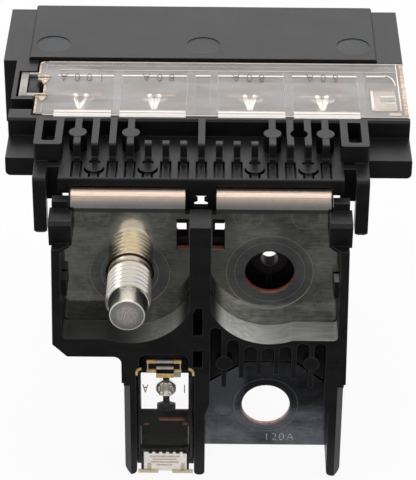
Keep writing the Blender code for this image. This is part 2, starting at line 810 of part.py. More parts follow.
def drain_hole(side):
    return prism("Y", circle(side * terminal_pitch, -terminal_z, drain_radius, 20), plate_y + beyond,
                 cup_floor_y + cup_floor + beyond)


def drain_rib():
    """The rib that runs down from the ring of the open cup."""
    front = cup_floor_y - drain_ring_height + 0.2 * mm
    return box(terminal_pitch - 0.5 * mm, terminal_pitch + 0.5 * mm, front, cup_floor_y + overlap,
               -terminal_z - cup_bore - overlap, -terminal_z - drain_ring + overlap)


def back_wall():
    """The wall behind the plate's upper edge, with a notch that clears the housing's tongue."""
    front = plate_y + bar_thickness + gap
    notch_half = tongue_half + gap
    notch_floor = -tongue_bottom - gap
    return prism("Y", [(-rim_inner, -frame_top - overlap), (rim_inner, -frame_top - overlap),
                       (rim_inner, -back_wall_top), (notch_half, -back_wall_top), (notch_half, notch_floor),
                       (-notch_half, notch_floor), (-notch_half, -back_wall_top), (-rim_inner,
                                                                                   -back_wall_top)],
                 front, frame_depth)


def see_through_slots():
    slots = []
    for side in (-1, 1):
        low, high = sorted((side * plate_slot_inner, side * plate_slot_outer))
        slots.append(box(low, high, plate_y, frame_depth + beyond, -see_through_bottom, -see_through_top))
    return gather(slots)


def notch(side):
    inner, outer = sorted((side * (rim_inner - notch_reach), side * (rim_inner + overlap)))
    return box(inner, outer, plate_y / 2, plate_y - gap, -notch_bottom, -notch_top)


def web_pockets():
    upper = prism("Y", [(pocket_left, -30.1 * mm), (pocket_right, -30.1 * mm), (pocket_right, -24.3 * mm),
                        (pocket_left + 0.5 * mm, -24.3 * mm), (pocket_left,
                                                               -25.4 * mm)], -beyond, pocket_depth)
    lower = prism("Y", [(pocket_left, -37.1 * mm), (pocket_right, -37.1 * mm), (pocket_right, -33.4 * mm),
                        (pocket_left, -33.4 * mm)], -beyond, pocket_depth)
    return gather([upper, lower])


def arch_pocket():
    left = holder_inner_left + 0.6 * mm
    right = holder_inner_right - 1.0 * mm
    arch = prism("Y", fillet([(left, -holder_top - overlap), (right, -holder_top - overlap),
                              (right, -arch_top, 1.6 * mm), (left, -arch_top,
                                                             1.6 * mm)]), -beyond, arch_depth)
    seat = box(holder_inner_left, holder_inner_right, -beyond, plate_y - gap / 2, -holder_top - overlap,
               -low_cover_top + gap)
    return unite(arch, seat)


def comb_slot_tops():
    """The height of each slot's round end: on a circle about the battery hole, or level at the right."""
    tops = []
    for number in range(-3, 4):
        away = number * comb_pitch
        top = -terminal_z - sqrt(comb_ring ** 2 - away ** 2)
        tops.append(min(top, -comb_right_top) if number >= 2 else top)
    return tops


def bay_front():
    """The open front of the alternator bay, whose slots leave fingers at its top."""
    below = -opening_shoulder - beyond
    corners = [(holder_right, below), (leg_inner, below), (leg_inner, -bay_flare_bottom),
               (bay_right, -bay_flare_top)]
    half = comb_slot / 2
    ends = {2: comb_long_end, 1: comb_end + 0.8 * mm, 0: comb_end, -1: comb_end, -2: comb_end + 0.8 * mm,
            -3: comb_long_end}
    tops = comb_slot_tops()
    for number in range(3, -4, -1):
        centre = comb_centre_x + number * comb_pitch
        left = bay_left if number == -3 else centre - half
        right = bay_right if number == 3 else centre + half
        top = tops[number + 3]
        if number < 3:
            corners.append((right, -ends[number]))
        corners += [(right, top, half * 0.9), (left, top, half * 0.9)]
        if number > -3:
            corners.append((left, -ends[number - 1]))
    corners += [(bay_left, -bay_flare_top), (holder_right, -bay_flare_bottom)]
    return prism("Y", fillet(corners), -beyond, plate_y)


def knobs():
    return gather([prism("Y", circle(comb_centre_x + side * comb_pitch * 2.5, -knob_z, knob_radius, 24),
                         -0.15 * mm, 1.6 * mm) for side in (-1, 1)])


def alternator_outline(grow=0.0):
    """The alternator plate with its arm to the low link, grown by the clearance for its groove."""
    left = alt_centre_x - alt_top_half + 0.7 * mm
    right = alt_centre_x + alt_top_half + 0.7 * mm
    arm_left = holder_inner_left + gap - grow
    shoulder = -alt_shoulder + grow
    return fillet([(arm_left, -alt_arm_bottom - grow), (alt_left + grow, -alt_arm_bottom - grow),
                   (alt_left + grow, -alt_bottom - grow), (alt_right + grow, -alt_bottom - grow),
                   (alt_right + grow, shoulder + 1.0 * mm), (right + grow, -alt_top + grow),
                   (left - grow, -alt_top + grow), (alt_left - grow, shoulder + 1.0 * mm),
                   (alt_left - grow, -alt_arm_top + grow), (arm_left, -alt_arm_top + grow)])


def alternator_groove():
    return prism("Y", alternator_outline(gap), plate_y - gap, plate_y + alt_thickness + gap)


def leg_chamfers():
    """The long bevels on the outer front edges of the two outer legs."""
    forms = []
    deep = 1.6 * mm
    wide = 1.1 * mm
    for edge, inward in ((frame_half - leg_step_in, -1), (holder_left + leg_step_in, 1)):
        corners = [(edge + inward * wide * 2, -deep), (edge - inward * wide, deep * 2),
                   (edge - inward * wide * 4, deep * 2), (edge - inward * wide * 4, -deep)]
        forms.append(prism("Z", corners, -leg_bottom - beyond, -leg_step - 0.6 * mm))
    return gather(forms)


def make_lower_frame(root, material):
    body = prism("Y", frame_outline(), 0.0, frame_depth)
    unite(body, back_wall(), back_cup(-1), back_cup(1))
    cut(body, recess(-1), recess(1))
    unite(body, corner_block(-1), corner_block(1), middle_post(), notch(-1), notch(1))
    cut(body, plate_groove(), cup_bore_form(-1), cup_bore_form(1))
    unite(body, drain_rib())
    cut(body, drain_hole(-1), drain_hole(1), see_through_slots(), web_pockets(), arch_pocket())
    cut(body, bay_front())
    unite(body, knobs())
    cut(body, alternator_groove(), leg_chamfers())
    return finish(body, "lower_frame", material, root)


def make_bus_bar(root, material):
    """One sheet: level half, bend, upright plate and the feed to the low link."""
    centre_y = plate_y + bend_radius
    centre_z = -bar_top - bend_radius
    inside = bend_radius - bar_thickness
    outer = arc(centre_y, centre_z, bend_radius, pi / 2, pi, 10)
    inner = arc(centre_y, centre_z, inside, pi, pi / 2, 8)
    profile = [Vector((bar_rear_y, -bar_top))] + outer + [Vector((plate_y, -plate_bottom)),
              Vector((plate_y + bar_thickness, -plate_bottom))] + inner
    profile.append(Vector((bar_rear_y, -bar_top - bar_thickness)))
    sheet = prism("X", profile, -plate_half, plate_half)
    for side in (-1, 1):
        inner_x, outer_x = sorted((side * bar_half, side * (plate_half + beyond)))
        cut(sheet, box(inner_x, outer_x, 0.0, bar_wing_y, -plate_shoulder, 0.0))
        inner_x, outer_x = sorted((side * bar_wing_half, side * (plate_half + beyond)))
        cut(sheet, box(inner_x, outer_x, bar_wing_y - overlap, bar_rear_y + beyond, -plate_shoulder, 0.0))
    cut(sheet, box(-bar_split_half, bar_split_half, 0.0, bar_split_y, -bar_split_bottom, 0.0))
    rear = plate_y + bar_thickness
    slots = []
    for side in (-1, 1):
        low, high = sorted((side * plate_slot_inner, side * plate_slot_outer))
        slots.append(box(low, high, 0.0, rear + beyond, -plate_slot_bottom, -plate_slot_top))
    cut(sheet, gather(slots))
    front = plate_y + seat_coin
    cut(sheet, gather([prism("Y", circle(terminal_pitch, -terminal_z, battery_seat, 48), 0.0, front),
                       prism("Y", circle(stud_x, -stud_z, stud_seat, 48), 0.0, front)]))
    hole = prism("Y", circle(terminal_pitch, -terminal_z, battery_hole / 2, 36), 0.0, rear + beyond)
    stud_hole = prism("Y", circle(stud_x, -stud_z, stud_radius + stud_clearance, 32), 0.0, rear + beyond)
    cut(sheet, hole, stud_hole)
    feed = box(feed_left, feed_right, plate_y, rear, -feed_bottom, -plate_bottom + overlap)
    unite(sheet, feed)
    return finish(sheet, "bus_bar", material, root)


def make_alternator_plate(root, material):
    plate = prism("Y", alternator_outline(), plate_y, plate_y + alt_thickness)
    cut(plate, prism("Y", circle(alt_centre_x, -alt_centre_z, alt_seat, 40), 0.0, plate_y + seat_coin))
    cut(plate, prism("Y", circle(alt_centre_x, -alt_centre_z, alt_hole / 2, 36), 0.0, plate_y + beyond))
    return finish(plate, "alternator_plate", material, root)


def make_stud(root, material):
    """Stud with its hexagon head in the left cup; its lead is plain and tapers to the tip."""
    seat = plate_y + bar_thickness + gap
    profile = [(0.0, stud_tip_y), (stud_tip_radius - 0.3 * mm, stud_tip_y),
               (stud_tip_radius, stud_tip_y + 0.3 * mm),
               (stud_lead_radius, stud_thread_end_y - 0.6 * mm), (stud_radius, stud_thread_end_y),
               (stud_radius, seat + overlap), (0.0, seat + overlap)]
    shaft = turned(profile, (stud_x, 0.0, -stud_z), "Y", 32)
    across = stud_head_flats / 2 / cos(pi / 6)
    head = prism("Y", circle(stud_x, -stud_z, across, 6), seat, seat + stud_head_height - gap)
    return finish(unite(shaft, head), "stud_bolt", material, root)


def link_mesh():
    """An upper link about x = 0: wide tabs joined by a narrow strip that humps up to its bead."""
    level = -bar_top - bar_thickness / 2
    front = bar_rear_y + gap
    half_tab, half_strip, half_thick = link_tab / 2, link_width / 2, link_thickness / 2
    across = (1, 0, 0)
    stations = []
    for distance, width in ((0.0, half_tab), (1.3 * mm, half_tab), (2.0 * mm, half_strip),
                            (5.6 * mm, half_strip)):
        stations.append(((0.0, front + distance, level), width, half_thick, across))
    crown = link_crown_y
    for offset, share in ((-1.5, 0.4), (-0.9, 0.9), (0.0, 1.0), (0.9, 0.9), (1.6, 0.4)):
        stations.append(((0.0, crown + offset * mm, level + share * link_rise), half_strip, half_thick,
                         across))
    for distance, width in ((-9.7 * mm, half_strip), (-2.6 * mm, half_strip), (-1.6 * mm, half_tab),
                            (0.0, half_tab)):
        stations.append(((0.0, link_rear_y + distance, level), width, half_thick, across))
    return ribbon(stations)


def bead_outline():
    """The clenched bead seen from above: two round claws behind and a point towards the bar."""
    claw = bead_width / 4
    top = bead_length / 2
    return fillet([(0.0, -top, 0.2 * mm), (2 * claw, top * 0.45, 0.3 * mm), (1.7 * claw, top, 0.4 * mm),
                   (0.45 * claw, top, 0.3 * mm), (0.0, top * 0.55), (-0.45 * claw, top, 0.3 * mm),
                   (-1.7 * claw, top, 0.4 * mm), (-2 * claw, top * 0.45, 0.3 * mm)])


def make_links(root, copper, tin):
    level = -bar_top - bar_thickness / 2 + link_rise + link_thickness / 2 + gap
    for name, spot in zip(link_names, link_x):
        link = finish(link_mesh(), "link_" + name, copper, root)
        link.location.x = spot
        bead = finish(prism("Z", bead_outline(), 0.0, bead_height), "tin_bead_" + name, tin, root)
        bead.location = (spot, link_crown_y, level)


def make_blades(root, material):
    level = -bar_top - bar_thickness / 2
    half, thick = blade_width / 2, blade_thickness / 2
    across = (1, 0, 0)
    front = link_rear_y + gap
    for number, spot in enumerate(link_x, 1):
        stations = [((0.0, front, level), half, thick, across),
                    ((0.0, blade_tip_y - 2.0 * mm, level), half, thick, across),
                    ((0.0, blade_tip_y, level), half - 1.2 * mm, thick * 0.4, across)]
        blade = finish(ribbon(stations), "terminal_blade_%d" % number, material, root)
        blade.location.x = spot


def make_low_link(root, copper, tin):
    """The fifth link stands upright between the bus bar's feed and the alternator plate."""
    mid = plate_y + alt_thickness / 2
    half_thick = alt_thickness / 2
    across = (1, 0, 0)
    top = -feed_bottom - gap
    bottom = -alt_arm_top + gap
    rows = ((top, 1.5 * mm), (top - 0.7 * mm, 1.5 * mm), (top - 1.1 * mm, 0.6 * mm),
            (bottom + 1.5 * mm, 0.6 * mm),
            (bottom + 1.1 * mm, 1.7 * mm), (bottom, 1.7 * mm))
    link = ribbon([((0.0, mid, row), half, half_thick, across) for row, half in rows])
    finish(link, "link_120a", copper, root).location.x = low_link_x
    front = plate_y - gap
    profile = [(0.0, front), (low_bead_radius, front), (low_bead_radius, front - 0.5 * mm),
               (low_bead_radius - 0.4 * mm, front - 0.9 * mm), (0.0, front - 1.0 * mm)]
    bead = turned(profile, (0.0, 0.0, -low_bead_z), "Y", 20)
    finish(bead, "tin_bead_120a", tin, root).location.x = low_link_x


def upper_cover_tray(front, rear, left, right, top, bottom):
    """A sheet with walls below it: the covers are shallow trays."""
    tray = box(left, right, front, rear, bottom, top)
    hollow = box(left + cover_wall, right - cover_wall, front + cover_wall, rear - cover_wall,
                 bottom - beyond,
                 top - cover_sheet)
    return cut(tray, hollow)


def cover_latch(left):
    """The springy loop that snaps over the housing's catch."""
    half = latch_length / 2
    top = -0.6 * mm
    plate = prism("Z", fillet([(left - latch_reach, latch_y - half, 0.6 * mm),
                               (left + overlap, latch_y - half),
                               (left + overlap, latch_y + half), (left - latch_reach, latch_y + half,
                                                                  0.6 * mm)]),
                  top - 1.2 * mm, top)
    window = box(left - latch_reach + latch_bar, left - 0.01 * mm, latch_y - catch_width / 2 - gap,
                 latch_y + catch_width / 2 + gap, top - beyond, top + beyond)
    return cut(plate, window)


def make_upper_cover(root, material):
    front = wall_front_y + window_wall + gap
    rear = slab_front_y - 2 * gap
    right = block_width / 2 - window_right_wall - gap
    bottom = -seat_depth + gap
    tray = upper_cover_tray(front, rear, cover_left, right, cover_proud, bottom)
    dividers = []
    for spot in divider_x:
        dividers.append(box(spot - divider_width / 2, spot + divider_width / 2, front + cover_wall - overlap,
                            rear - cover_wall + overlap, bottom, cover_proud - cover_sheet + overlap))
    unite(tray, gather(dividers))
    grip = box(right - 4.6 * mm, right - cover_wall + overlap, front + cover_wall - overlap,
               front + 8.4 * mm, bottom,
               cover_proud - cover_sheet + overlap)
    grip_slot = box(right - 3.2 * mm, right - 1.4 * mm, front + 4.6 * mm, front + 6.2 * mm, bottom - beyond,
                    cover_proud - cover_sheet)
    unite(tray, cut(grip, grip_slot))
    side = box(right - overlap, cover_flange, front, rear, cover_proud - cover_sheet, cover_proud)
    unite(tray, side, cover_latch(cover_left))
    return finish(tray, "upper_clear_cover", material, root)


def make_upper_rear_cover(root, material):
    front = wall_front_y + window_wall + gap
    rear = slab_front_y - gap
    right = block_width / 2 - window_right_wall - gap
    top = -bar_top - bar_thickness - gap
    tray = box(cover_left, right, front, rear, -box_height, top)
    cut(tray, box(cover_left + cover_wall, right - cover_wall, front + cover_wall, rear - cover_wall,
                  -box_height + cover_sheet, top + beyond))
    return finish(tray, "upper_underside_cover", material, root)


def make_lower_cover(root, material):
    left = holder_inner_left + gap
    right = holder_inner_right - gap
    front = low_cover_front_y
    rear = plate_y - 2 * gap
    tray = prism("Z", [(left, front), (right, front), (right, rear), (right - 0.8 * mm, rear),
                       (right - 0.8 * mm, front + cover_sheet), (left + 0.8 * mm, front + cover_sheet),
                       (left + 0.8 * mm, rear), (left, rear)], -low_cover_bottom, -low_cover_top)
    middle = (left + right) / 2
    latch = prism("Y", fillet([(middle - low_latch_half, -low_cover_top - overlap), (middle + low_latch_half,
                  -low_cover_top - overlap), (middle + low_latch_half, -low_latch_top, 0.4 * mm),
                  (middle - low_latch_half, -low_latch_top, 0.4 * mm)]), front, front + cover_sheet)
    eye = box(middle - low_latch_half + low_latch_bar, middle + low_latch_half - low_latch_bar,
              front - beyond,
              front + beyond, -low_cover_top + low_latch_bar / 2, -low_latch_top - low_latch_bar)
    sill = box(left + 0.4 * mm, right - 0.4 * mm, front + cover_sheet - overlap, rear - 0.6 * mm,
               -low_cover_bottom,
               -low_cover_bottom + 0.8 * mm)
    unite(tray, cut(latch, eye), sill)
    return finish(tray, "lower_clear_cover", material, root)


def make_lower_rear_cover(root, material):
    left = holder_inner_left + gap
    right = holder_inner_right - gap
    front = plate_y + bar_thickness + 2 * gap
    rear = frame_depth - 0.2 * mm
    tray = prism("Z", [(left, front), (left + 0.8 * mm, front), (left + 0.8 * mm, rear - cover_sheet),
                       (right - 0.8 * mm, rear - cover_sheet), (right - 0.8 * mm, front), (right, front),
                       (right, rear), (left, rear)], -low_cover_bottom, -holder_top - gap)
    return finish(tray, "lower_rear_cover", material, root)


def make_root():
    """The empty that carries every piece, so that the block's own centre is the origin."""
    root = bpy.data.objects.new("block_centre", None)
    bpy.context.scene.collection.objects.link(root)
    root.location = (0.0, -(stud_tip_y + back_y) / 2, (leg_bottom - slab_rise) / 2)
    return root


def make_block():
    empty_scene()
    root = make_root()
    black = make_material("glass_filled_nylon", (0.028, 0.028, 0.031), 0.55)
    tinned = make_material("tinned_copper", (0.46, 0.46, 0.44), 0.3, 1.0)
    bare = make_material("link_copper", (0.72, 0.52, 0.4), 0.35, 1.0)
    tin = make_material("bright_tin", (0.86, 0.84, 0.8), 0.25, 1.0)
    zinc = make_material("passivated_zinc", (0.78, 0.74, 0.62), 0.28, 1.0)
    clear = make_material("clear_polycarbonate", (0.8, 0.78, 0.74), 0.12, 0.0, 0.45)
    make_upper_housing(root, black)
    make_lower_frame(root, black)
    make_bus_bar(root, tinned)
    make_alternator_plate(root, tinned)
    make_stud(root, zinc)
    make_links(root, bare, tin)
    make_low_link(root, bare, tin)
    make_blades(root, tinned)
    make_upper_cover(root, clear)
    make_upper_rear_cover(root, clear)
    make_lower_cover(root, clear)
    make_lower_rear_cover(root, clear)


make_block()
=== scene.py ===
# Looks of a battery fusible link block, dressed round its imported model
import math
import bmesh
import bpy
from mathutils import Matrix, Vector


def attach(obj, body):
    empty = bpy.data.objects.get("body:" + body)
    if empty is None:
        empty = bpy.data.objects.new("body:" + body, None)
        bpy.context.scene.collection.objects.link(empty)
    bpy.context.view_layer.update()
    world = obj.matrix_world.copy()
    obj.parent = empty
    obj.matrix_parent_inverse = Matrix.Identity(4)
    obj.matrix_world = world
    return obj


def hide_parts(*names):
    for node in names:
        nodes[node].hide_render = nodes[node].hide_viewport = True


mm = 0.001
drawingZero = Vector((0.0, -29.8, 30.25))  # the drawing's zero point in the block's own frame, in mm
studSpot = (-12.45, -21.05)  # x and z of the middles of the stud, the battery hole and the lower hole
batterySpot = (12.2, -20.6)
padSpot = (12.05, -49.7)

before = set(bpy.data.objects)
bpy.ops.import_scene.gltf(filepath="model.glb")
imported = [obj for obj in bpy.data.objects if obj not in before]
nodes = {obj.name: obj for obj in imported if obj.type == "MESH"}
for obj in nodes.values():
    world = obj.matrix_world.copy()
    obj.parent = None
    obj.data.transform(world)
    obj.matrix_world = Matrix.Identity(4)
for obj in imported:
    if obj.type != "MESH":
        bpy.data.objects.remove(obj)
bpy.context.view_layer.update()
print("frame loaded:", len(nodes), "nodes")


def at(x, y, z):  # a point of the drawing, in mm, as a place in metres
    return (Vector((x, y, z)) + drawingZero) * mm


# Shader maths: a wire is a node's output that adds, multiplies and compares like a number
class Wire:
    def __init__(self, finish, socket):
        self.finish = finish
        self.socket = socket

    def maths(self, operation, first, second=0.0):
        return self.finish.node("Math", {"operation": operation}, {0: first, 1: second})

    def __add__(self, other):
        return self.maths("ADD", self, other)

    def __sub__(self, other):
        return self.maths("SUBTRACT", self, other)

    def __rsub__(self, other):
        return self.maths("SUBTRACT", other, self)

    def __mul__(self, other):
        return self.maths("MULTIPLY", self, other)

    def __truediv__(self, other):
        return self.maths("DIVIDE", self, other)

    def __pow__(self, other):
        return self.maths("POWER", self, other)

    def __gt__(self, other):
        return self.maths("GREATER_THAN", self, other)

    def __lt__(self, other):
        return self.maths("LESS_THAN", self, other)

    def __abs__(self):
        return self.maths("ABSOLUTE", self)

    __radd__ = __add__
    __rmul__ = __mul__

    def over(self, other):  # the larger of the two
        return self.maths("MAXIMUM", self, other)

    def under(self, other):  # the smaller of the two
        return self.maths("MINIMUM", self, other)

    def ramp(self, low, high):  # 0 at low, 1 at high, smooth between
        return self.finish.node("MapRange", {"interpolation_type": "SMOOTHSTEP"},
                                {"Value": self, "From Min": low, "From Max": high})


class Finish:
    def __init__(self, name, world=False):
        self.material = (bpy.data.worlds if world else bpy.data.materials).new(name)
        self.material.use_nodes = True
        self.tree = self.material.node_tree
        self.tree.nodes.clear()
        self.end = "OutputWorld" if world else "OutputMaterial"
        self.place = None if world else self.node("TexCoord", output="Object")

    def node(self, kind, settings=None, sockets=None, output=0):
        made = self.tree.nodes.new("ShaderNode" + kind)
        for key, value in (settings or {}).items():
            setattr(made, key, value)
        for key, value in (sockets or {}).items():
            if isinstance(value, Wire):
                self.tree.links.new(value.socket, made.inputs[key])
            else:
                made.inputs[key].default_value = value
        return Wire(self, made.outputs[output]) if made.outputs else made

    def shownDirect(self):  # 1 where the camera, a mirror or clear plastic looks at the surface
        seen = self.node("LightPath", output="Is Camera Ray")
        outs = seen.socket.node.outputs
        return seen.over(Wire(self, outs["Is Glossy Ray"])).over(Wire(self, outs["Is Transmission Ray"]))

    def noise(self, size, detail=3.0, squash=(1.0, 1.0, 1.0)):  # size of a patch, in mm
        spot = self.node("Mapping", None, {"Vector": self.place, "Scale": squash})
        return self.node("TexNoise", None, {"Vector": spot, "Scale": 1.0 / (size * mm), "Detail": detail})

    def mix(self, share, first, second):  # colours
        return self.node("Mix", {"data_type": "RGBA"}, {0: share, 6: first, 7: second}, output=2)

    def axes(self, wire=None):
        made = self.node("SeparateXYZ", None, {0: wire or self.place})
        outs = made.socket.node.outputs
        return [Wire(self, outs[n]) for n in range(3)]

    def drawn(self):  # x, y and z on the drawing, in mm
        return [axis * (1.0 / mm) - shift for axis, shift in zip(self.axes(), drawingZero)]

    def facing(self):  # the surface's own direction, one wire for each axis
        return self.axes(self.node("NewGeometry", output="Normal"))

    def distance(self, across, up, centre, squash=1.0):
        return ((across - centre[0]) ** 2.0 + ((up - centre[1]) * squash) ** 2.0) ** 0.5

    def ringAt(self, across, up, centre, radius, width):  # a thin circle round a point, 1 on its line
        return 1.0 - (abs(self.distance(across, up, centre) - radius) / width).under(1.0)

    def discAt(self, across, up, centre, radius, soft=0.15):
        return 1.0 - self.distance(across, up, centre).ramp(radius - soft, radius + soft)

    def softEdge(self, radius):  # a normal that rounds sharp edges, and how much it rounds them
        rounded = self.node("Bevel", {"samples": 4}, {"Radius": radius * mm})
        plain = self.node("NewGeometry", output="True Normal")
        same = self.node("VectorMath", {"operation": "DOT_PRODUCT"}, {0: rounded, 1: plain}, output="Value")
        return rounded, (1.0 - same).ramp(0.02, 0.3)

    def bump(self, height, distance, normal=None):
        sockets = {"Height": height, "Distance": distance * mm, "Strength": 1.0}
        if normal:
            sockets["Normal"] = normal
        return self.node("Bump", None, sockets)

    def surface(self, **sockets):
        values = {key.replace("_", " "): value for key, value in sockets.items()}
        return self.close(self.node("BsdfPrincipled", None, values))

    def close(self, shader):
        self.node(self.end, None, {"Surface": shader})
        return self.material


def rgb(red, green, blue):
    return (red, green, blue, 1.0)


# Black glass-filled nylon: fine moulded grain, slightly greyer flow marks, edges lighter as wear and painted
# highlight, round marks on the top face, and walls below the recess carrying a painted highlight of the sheet
# above them
def blackNylon():
    look = {"deep": rgb(0.005, 0.005, 0.0056), "pale": rgb(0.011, 0.011, 0.012), "edge": rgb(0.17, 0.167, 0.16),
            "grain": 0.28, "rounding": 0.16, "disc": rgb(0.022, 0.025, 0.031), "discRadius": 3.05,
            "discAbove": 0.4, "discs": (((-28.1, 50.7), 1.0), ((0.0, 50.7), 0.35), ((28.1, 50.7), 1.0)),
            "paintedWallHighlight": rgb(0.9, 0.91, 0.85), "wallDepth": (0.05, 6.1), "wallHeight": (-33.0, -20.0),
            "wallStart": (2.4, 4.5), "wallFade": (6.0, 16.0)}
    finish = Finish("blackNylon")
    x, y, z = finish.drawn()
    flow = finish.noise(7.0, 4.0, (1.0, 1.0, 2.2)).ramp(0.35, 0.7)
    grain = finish.noise(look["grain"], 3.0)
    rounded, edge = finish.softEdge(look["rounding"])
    # the edges' lighter colour is partly rubbed wear and partly a painted highlight along them
    wearAndEdgeHighlight = edge * (0.35 + finish.noise(1.6).ramp(0.3, 0.75) * 0.65)
    colour = finish.mix(flow * 0.6 + grain.ramp(0.35, 0.65) * 0.4, look["deep"], look["pale"])
    for middle, share in look["discs"]:
        disc = finish.discAt(x, y, middle, look["discRadius"]) * (z > look["discAbove"])
        colour = finish.mix(disc * share, colour, look["disc"])
    ny, nz = finish.facing()[1:]
    (front, back), (low, high) = look["wallDepth"], look["wallHeight"]
    # painted highlight: the walls below the recess are coloured bright and streaky, strongest near the middle,
    # standing for their sheen and the sheet they mirror
    wall = (abs(ny) < 0.3) * (nz > 0.06) * (z < high) * (z > low) * (y < back) * (y > front)
    streak = finish.noise(0.5, 4.0, (0.12, 1.0, 1.0)).ramp(0.3, 0.7)
    right = x > 0.0
    spread = abs(x).ramp(*look["wallStart"]) * (1.0 - abs(x).ramp(*look["wallFade"]) * (0.9 - right * 0.35))
    spread = spread * (0.35 + right * 0.65)
    shine = wall * spread * (0.7 + streak * 0.3)
    colour = finish.mix(shine, colour, look["paintedWallHighlight"])
    return finish.surface(Base_Color=finish.mix(wearAndEdgeHighlight * 0.9, colour, look["edge"]),
                          Roughness=0.29 + flow * 0.04 + grain * 0.16, Specular_IOR_Level=0.23,
                          Coat_Weight=shine * 0.6, Normal=finish.bump(grain, 0.05, rounded))


# Tin-plated copper sheet: dull and mottled where it lies flat, a painted highlight at its fold, copper at its
# cut edges
sheet = {"coinBack": 6.6, "cutFront": 6.15, "levelFront": 9.4, "cutShade": (6.9, 7.4), "faceTop": -10.0,
         "bendSlot": 3.6, "bendSlotLow": -9.6, "bendShadeLow": (-8.6, -8.1), "bendShadeHigh": (-6.5, -6.1),
         "markWidth": 0.16, "dimAcross": (3.0, 9.0), "stainSquash": 0.62}


def plateFinish(name, look):
    finish = Finish(name)
    x, y, z = finish.drawn()
    nx, ny, nz = finish.facing()
    mottle = finish.noise(1.1, 5.0).ramp(0.3, 0.72)
    cloud = finish.noise(7.0, 4.0, (0.7, 1.0, 1.3)).ramp(0.36, 0.64)
    brushed = finish.noise(0.3, 3.0, (0.12, 1.0, 1.6)).ramp(0.3, 0.7)
    speck = finish.noise(0.16, 2.0)
    dull = finish.mix(mottle * 0.22 + cloud * 0.5 + brushed * 0.28, look["dark"], look["light"])
    # painted shade: the sheet is coloured darker towards the middle
    dull = finish.mix((1.0 - abs(x).ramp(*sheet["dimAcross"])) * look["dim"], dull, look["under"])
    for centre, radius, share in look["seats"]:
        dull = finish.mix(finish.discAt(x, z, centre, radius, 0.9) * share, dull, look["seat"])
    # a lighter patch: on the bus bar it is a painted reflection of the stud above the stud, on the pad a
    # lighter bluish patch
    spot, reach, tint = look["stain"]
    away = finish.distance(x, z, spot, sheet["stainSquash"])
    dull = finish.mix(1.0 - (away + mottle * 0.6).ramp(reach - 1.6, reach + 0.7), dull, tint)
    lines = [finish.ringAt(x, z, *ring) for ring in look["rings"]]
    lines += [finish.ringAt(x, z, centre, radius, sheet["markWidth"]) * share
              for centre, radius, share in look["discs"]]
    marks = lines[0]
    for line in lines[1:]:
        marks = marks.over(line)
    # press marks; their lines on the front face are coloured light as a painted highlight
    marked = finish.mix(marks * (ny < -0.9) * 0.38, dull, look["markHighlight"])
    coined = (abs(ny) < 0.97) * (y < sheet["coinBack"])  # the small step round each pressed seat
    # painted shade: the walls of the small step round each seat are coloured dark
    for centre, radius, share in look["seats"]:
        step = finish.ringAt(x, z, centre, radius + 0.2, 0.6).ramp(0.0, 0.3) * coined
        marked = finish.mix(step, marked, look["paintedCutShade"])
    # painted shade: a darker band on the lower part of the fold
    lower = z.ramp(*sheet["bendShadeLow"]) * (1.0 - z.ramp(*sheet["bendShadeHigh"]))
    marked = finish.mix(lower * look["shaded"], marked, look["under"])
    # painted highlight: the fold is coloured light and warm where it curves
    fold = z.ramp(*look["fold"])
    bright = finish.mix(fold, marked, finish.mix(brushed * 0.5, look["foldHighlight"], look["foldHighlightDim"]))
    shade = x < look["shadeEnd"]
    bright = finish.mix(shade, bright, finish.mix(mottle, look["shadeDark"], look["shadeLight"]))
    upright = (z < look["bendEnd"]) * (abs(ny) < 0.5) * (y > sheet["cutFront"])
    level = (y > sheet["levelFront"]) * (abs(nz) < 0.5)
    cut = (abs(nx) > 0.6).over(upright).over(level) * (1.0 - shade * 0.85)
    # painted shade: cut edges deep in the slots and the edges at the bend are coloured dark
    bend = z > sheet["bendSlotLow"]
    deep = (y.ramp(*sheet["cutShade"]) * (z < sheet["faceTop"])).over((abs(x) < sheet["bendSlot"]) * bend)
    deep = deep.over(1.0 - finish.discAt(x, z, *look["bare"]))
    colour = finish.mix(cut * 0.9, bright, finish.mix(mottle, look["copper"], look["copperDark"]))
    rounded, edge = finish.softEdge(0.07)
    colour = finish.mix((cut * deep).over((edge ** 0.35) * bend), colour, look["paintedCutShade"])
    relief = speck * 0.5 + marks * -0.5 + mottle * 0.3 + brushed * 0.2
    blur = look["roughness"] + mottle * 0.03 + speck * 0.015 + fold * look["blur"] + cut * 0.2
    return finish.surface(Base_Color=colour, Metallic=1.0 - cut * 0.55, Roughness=blur,
                          Normal=finish.bump(relief, 0.003, rounded))


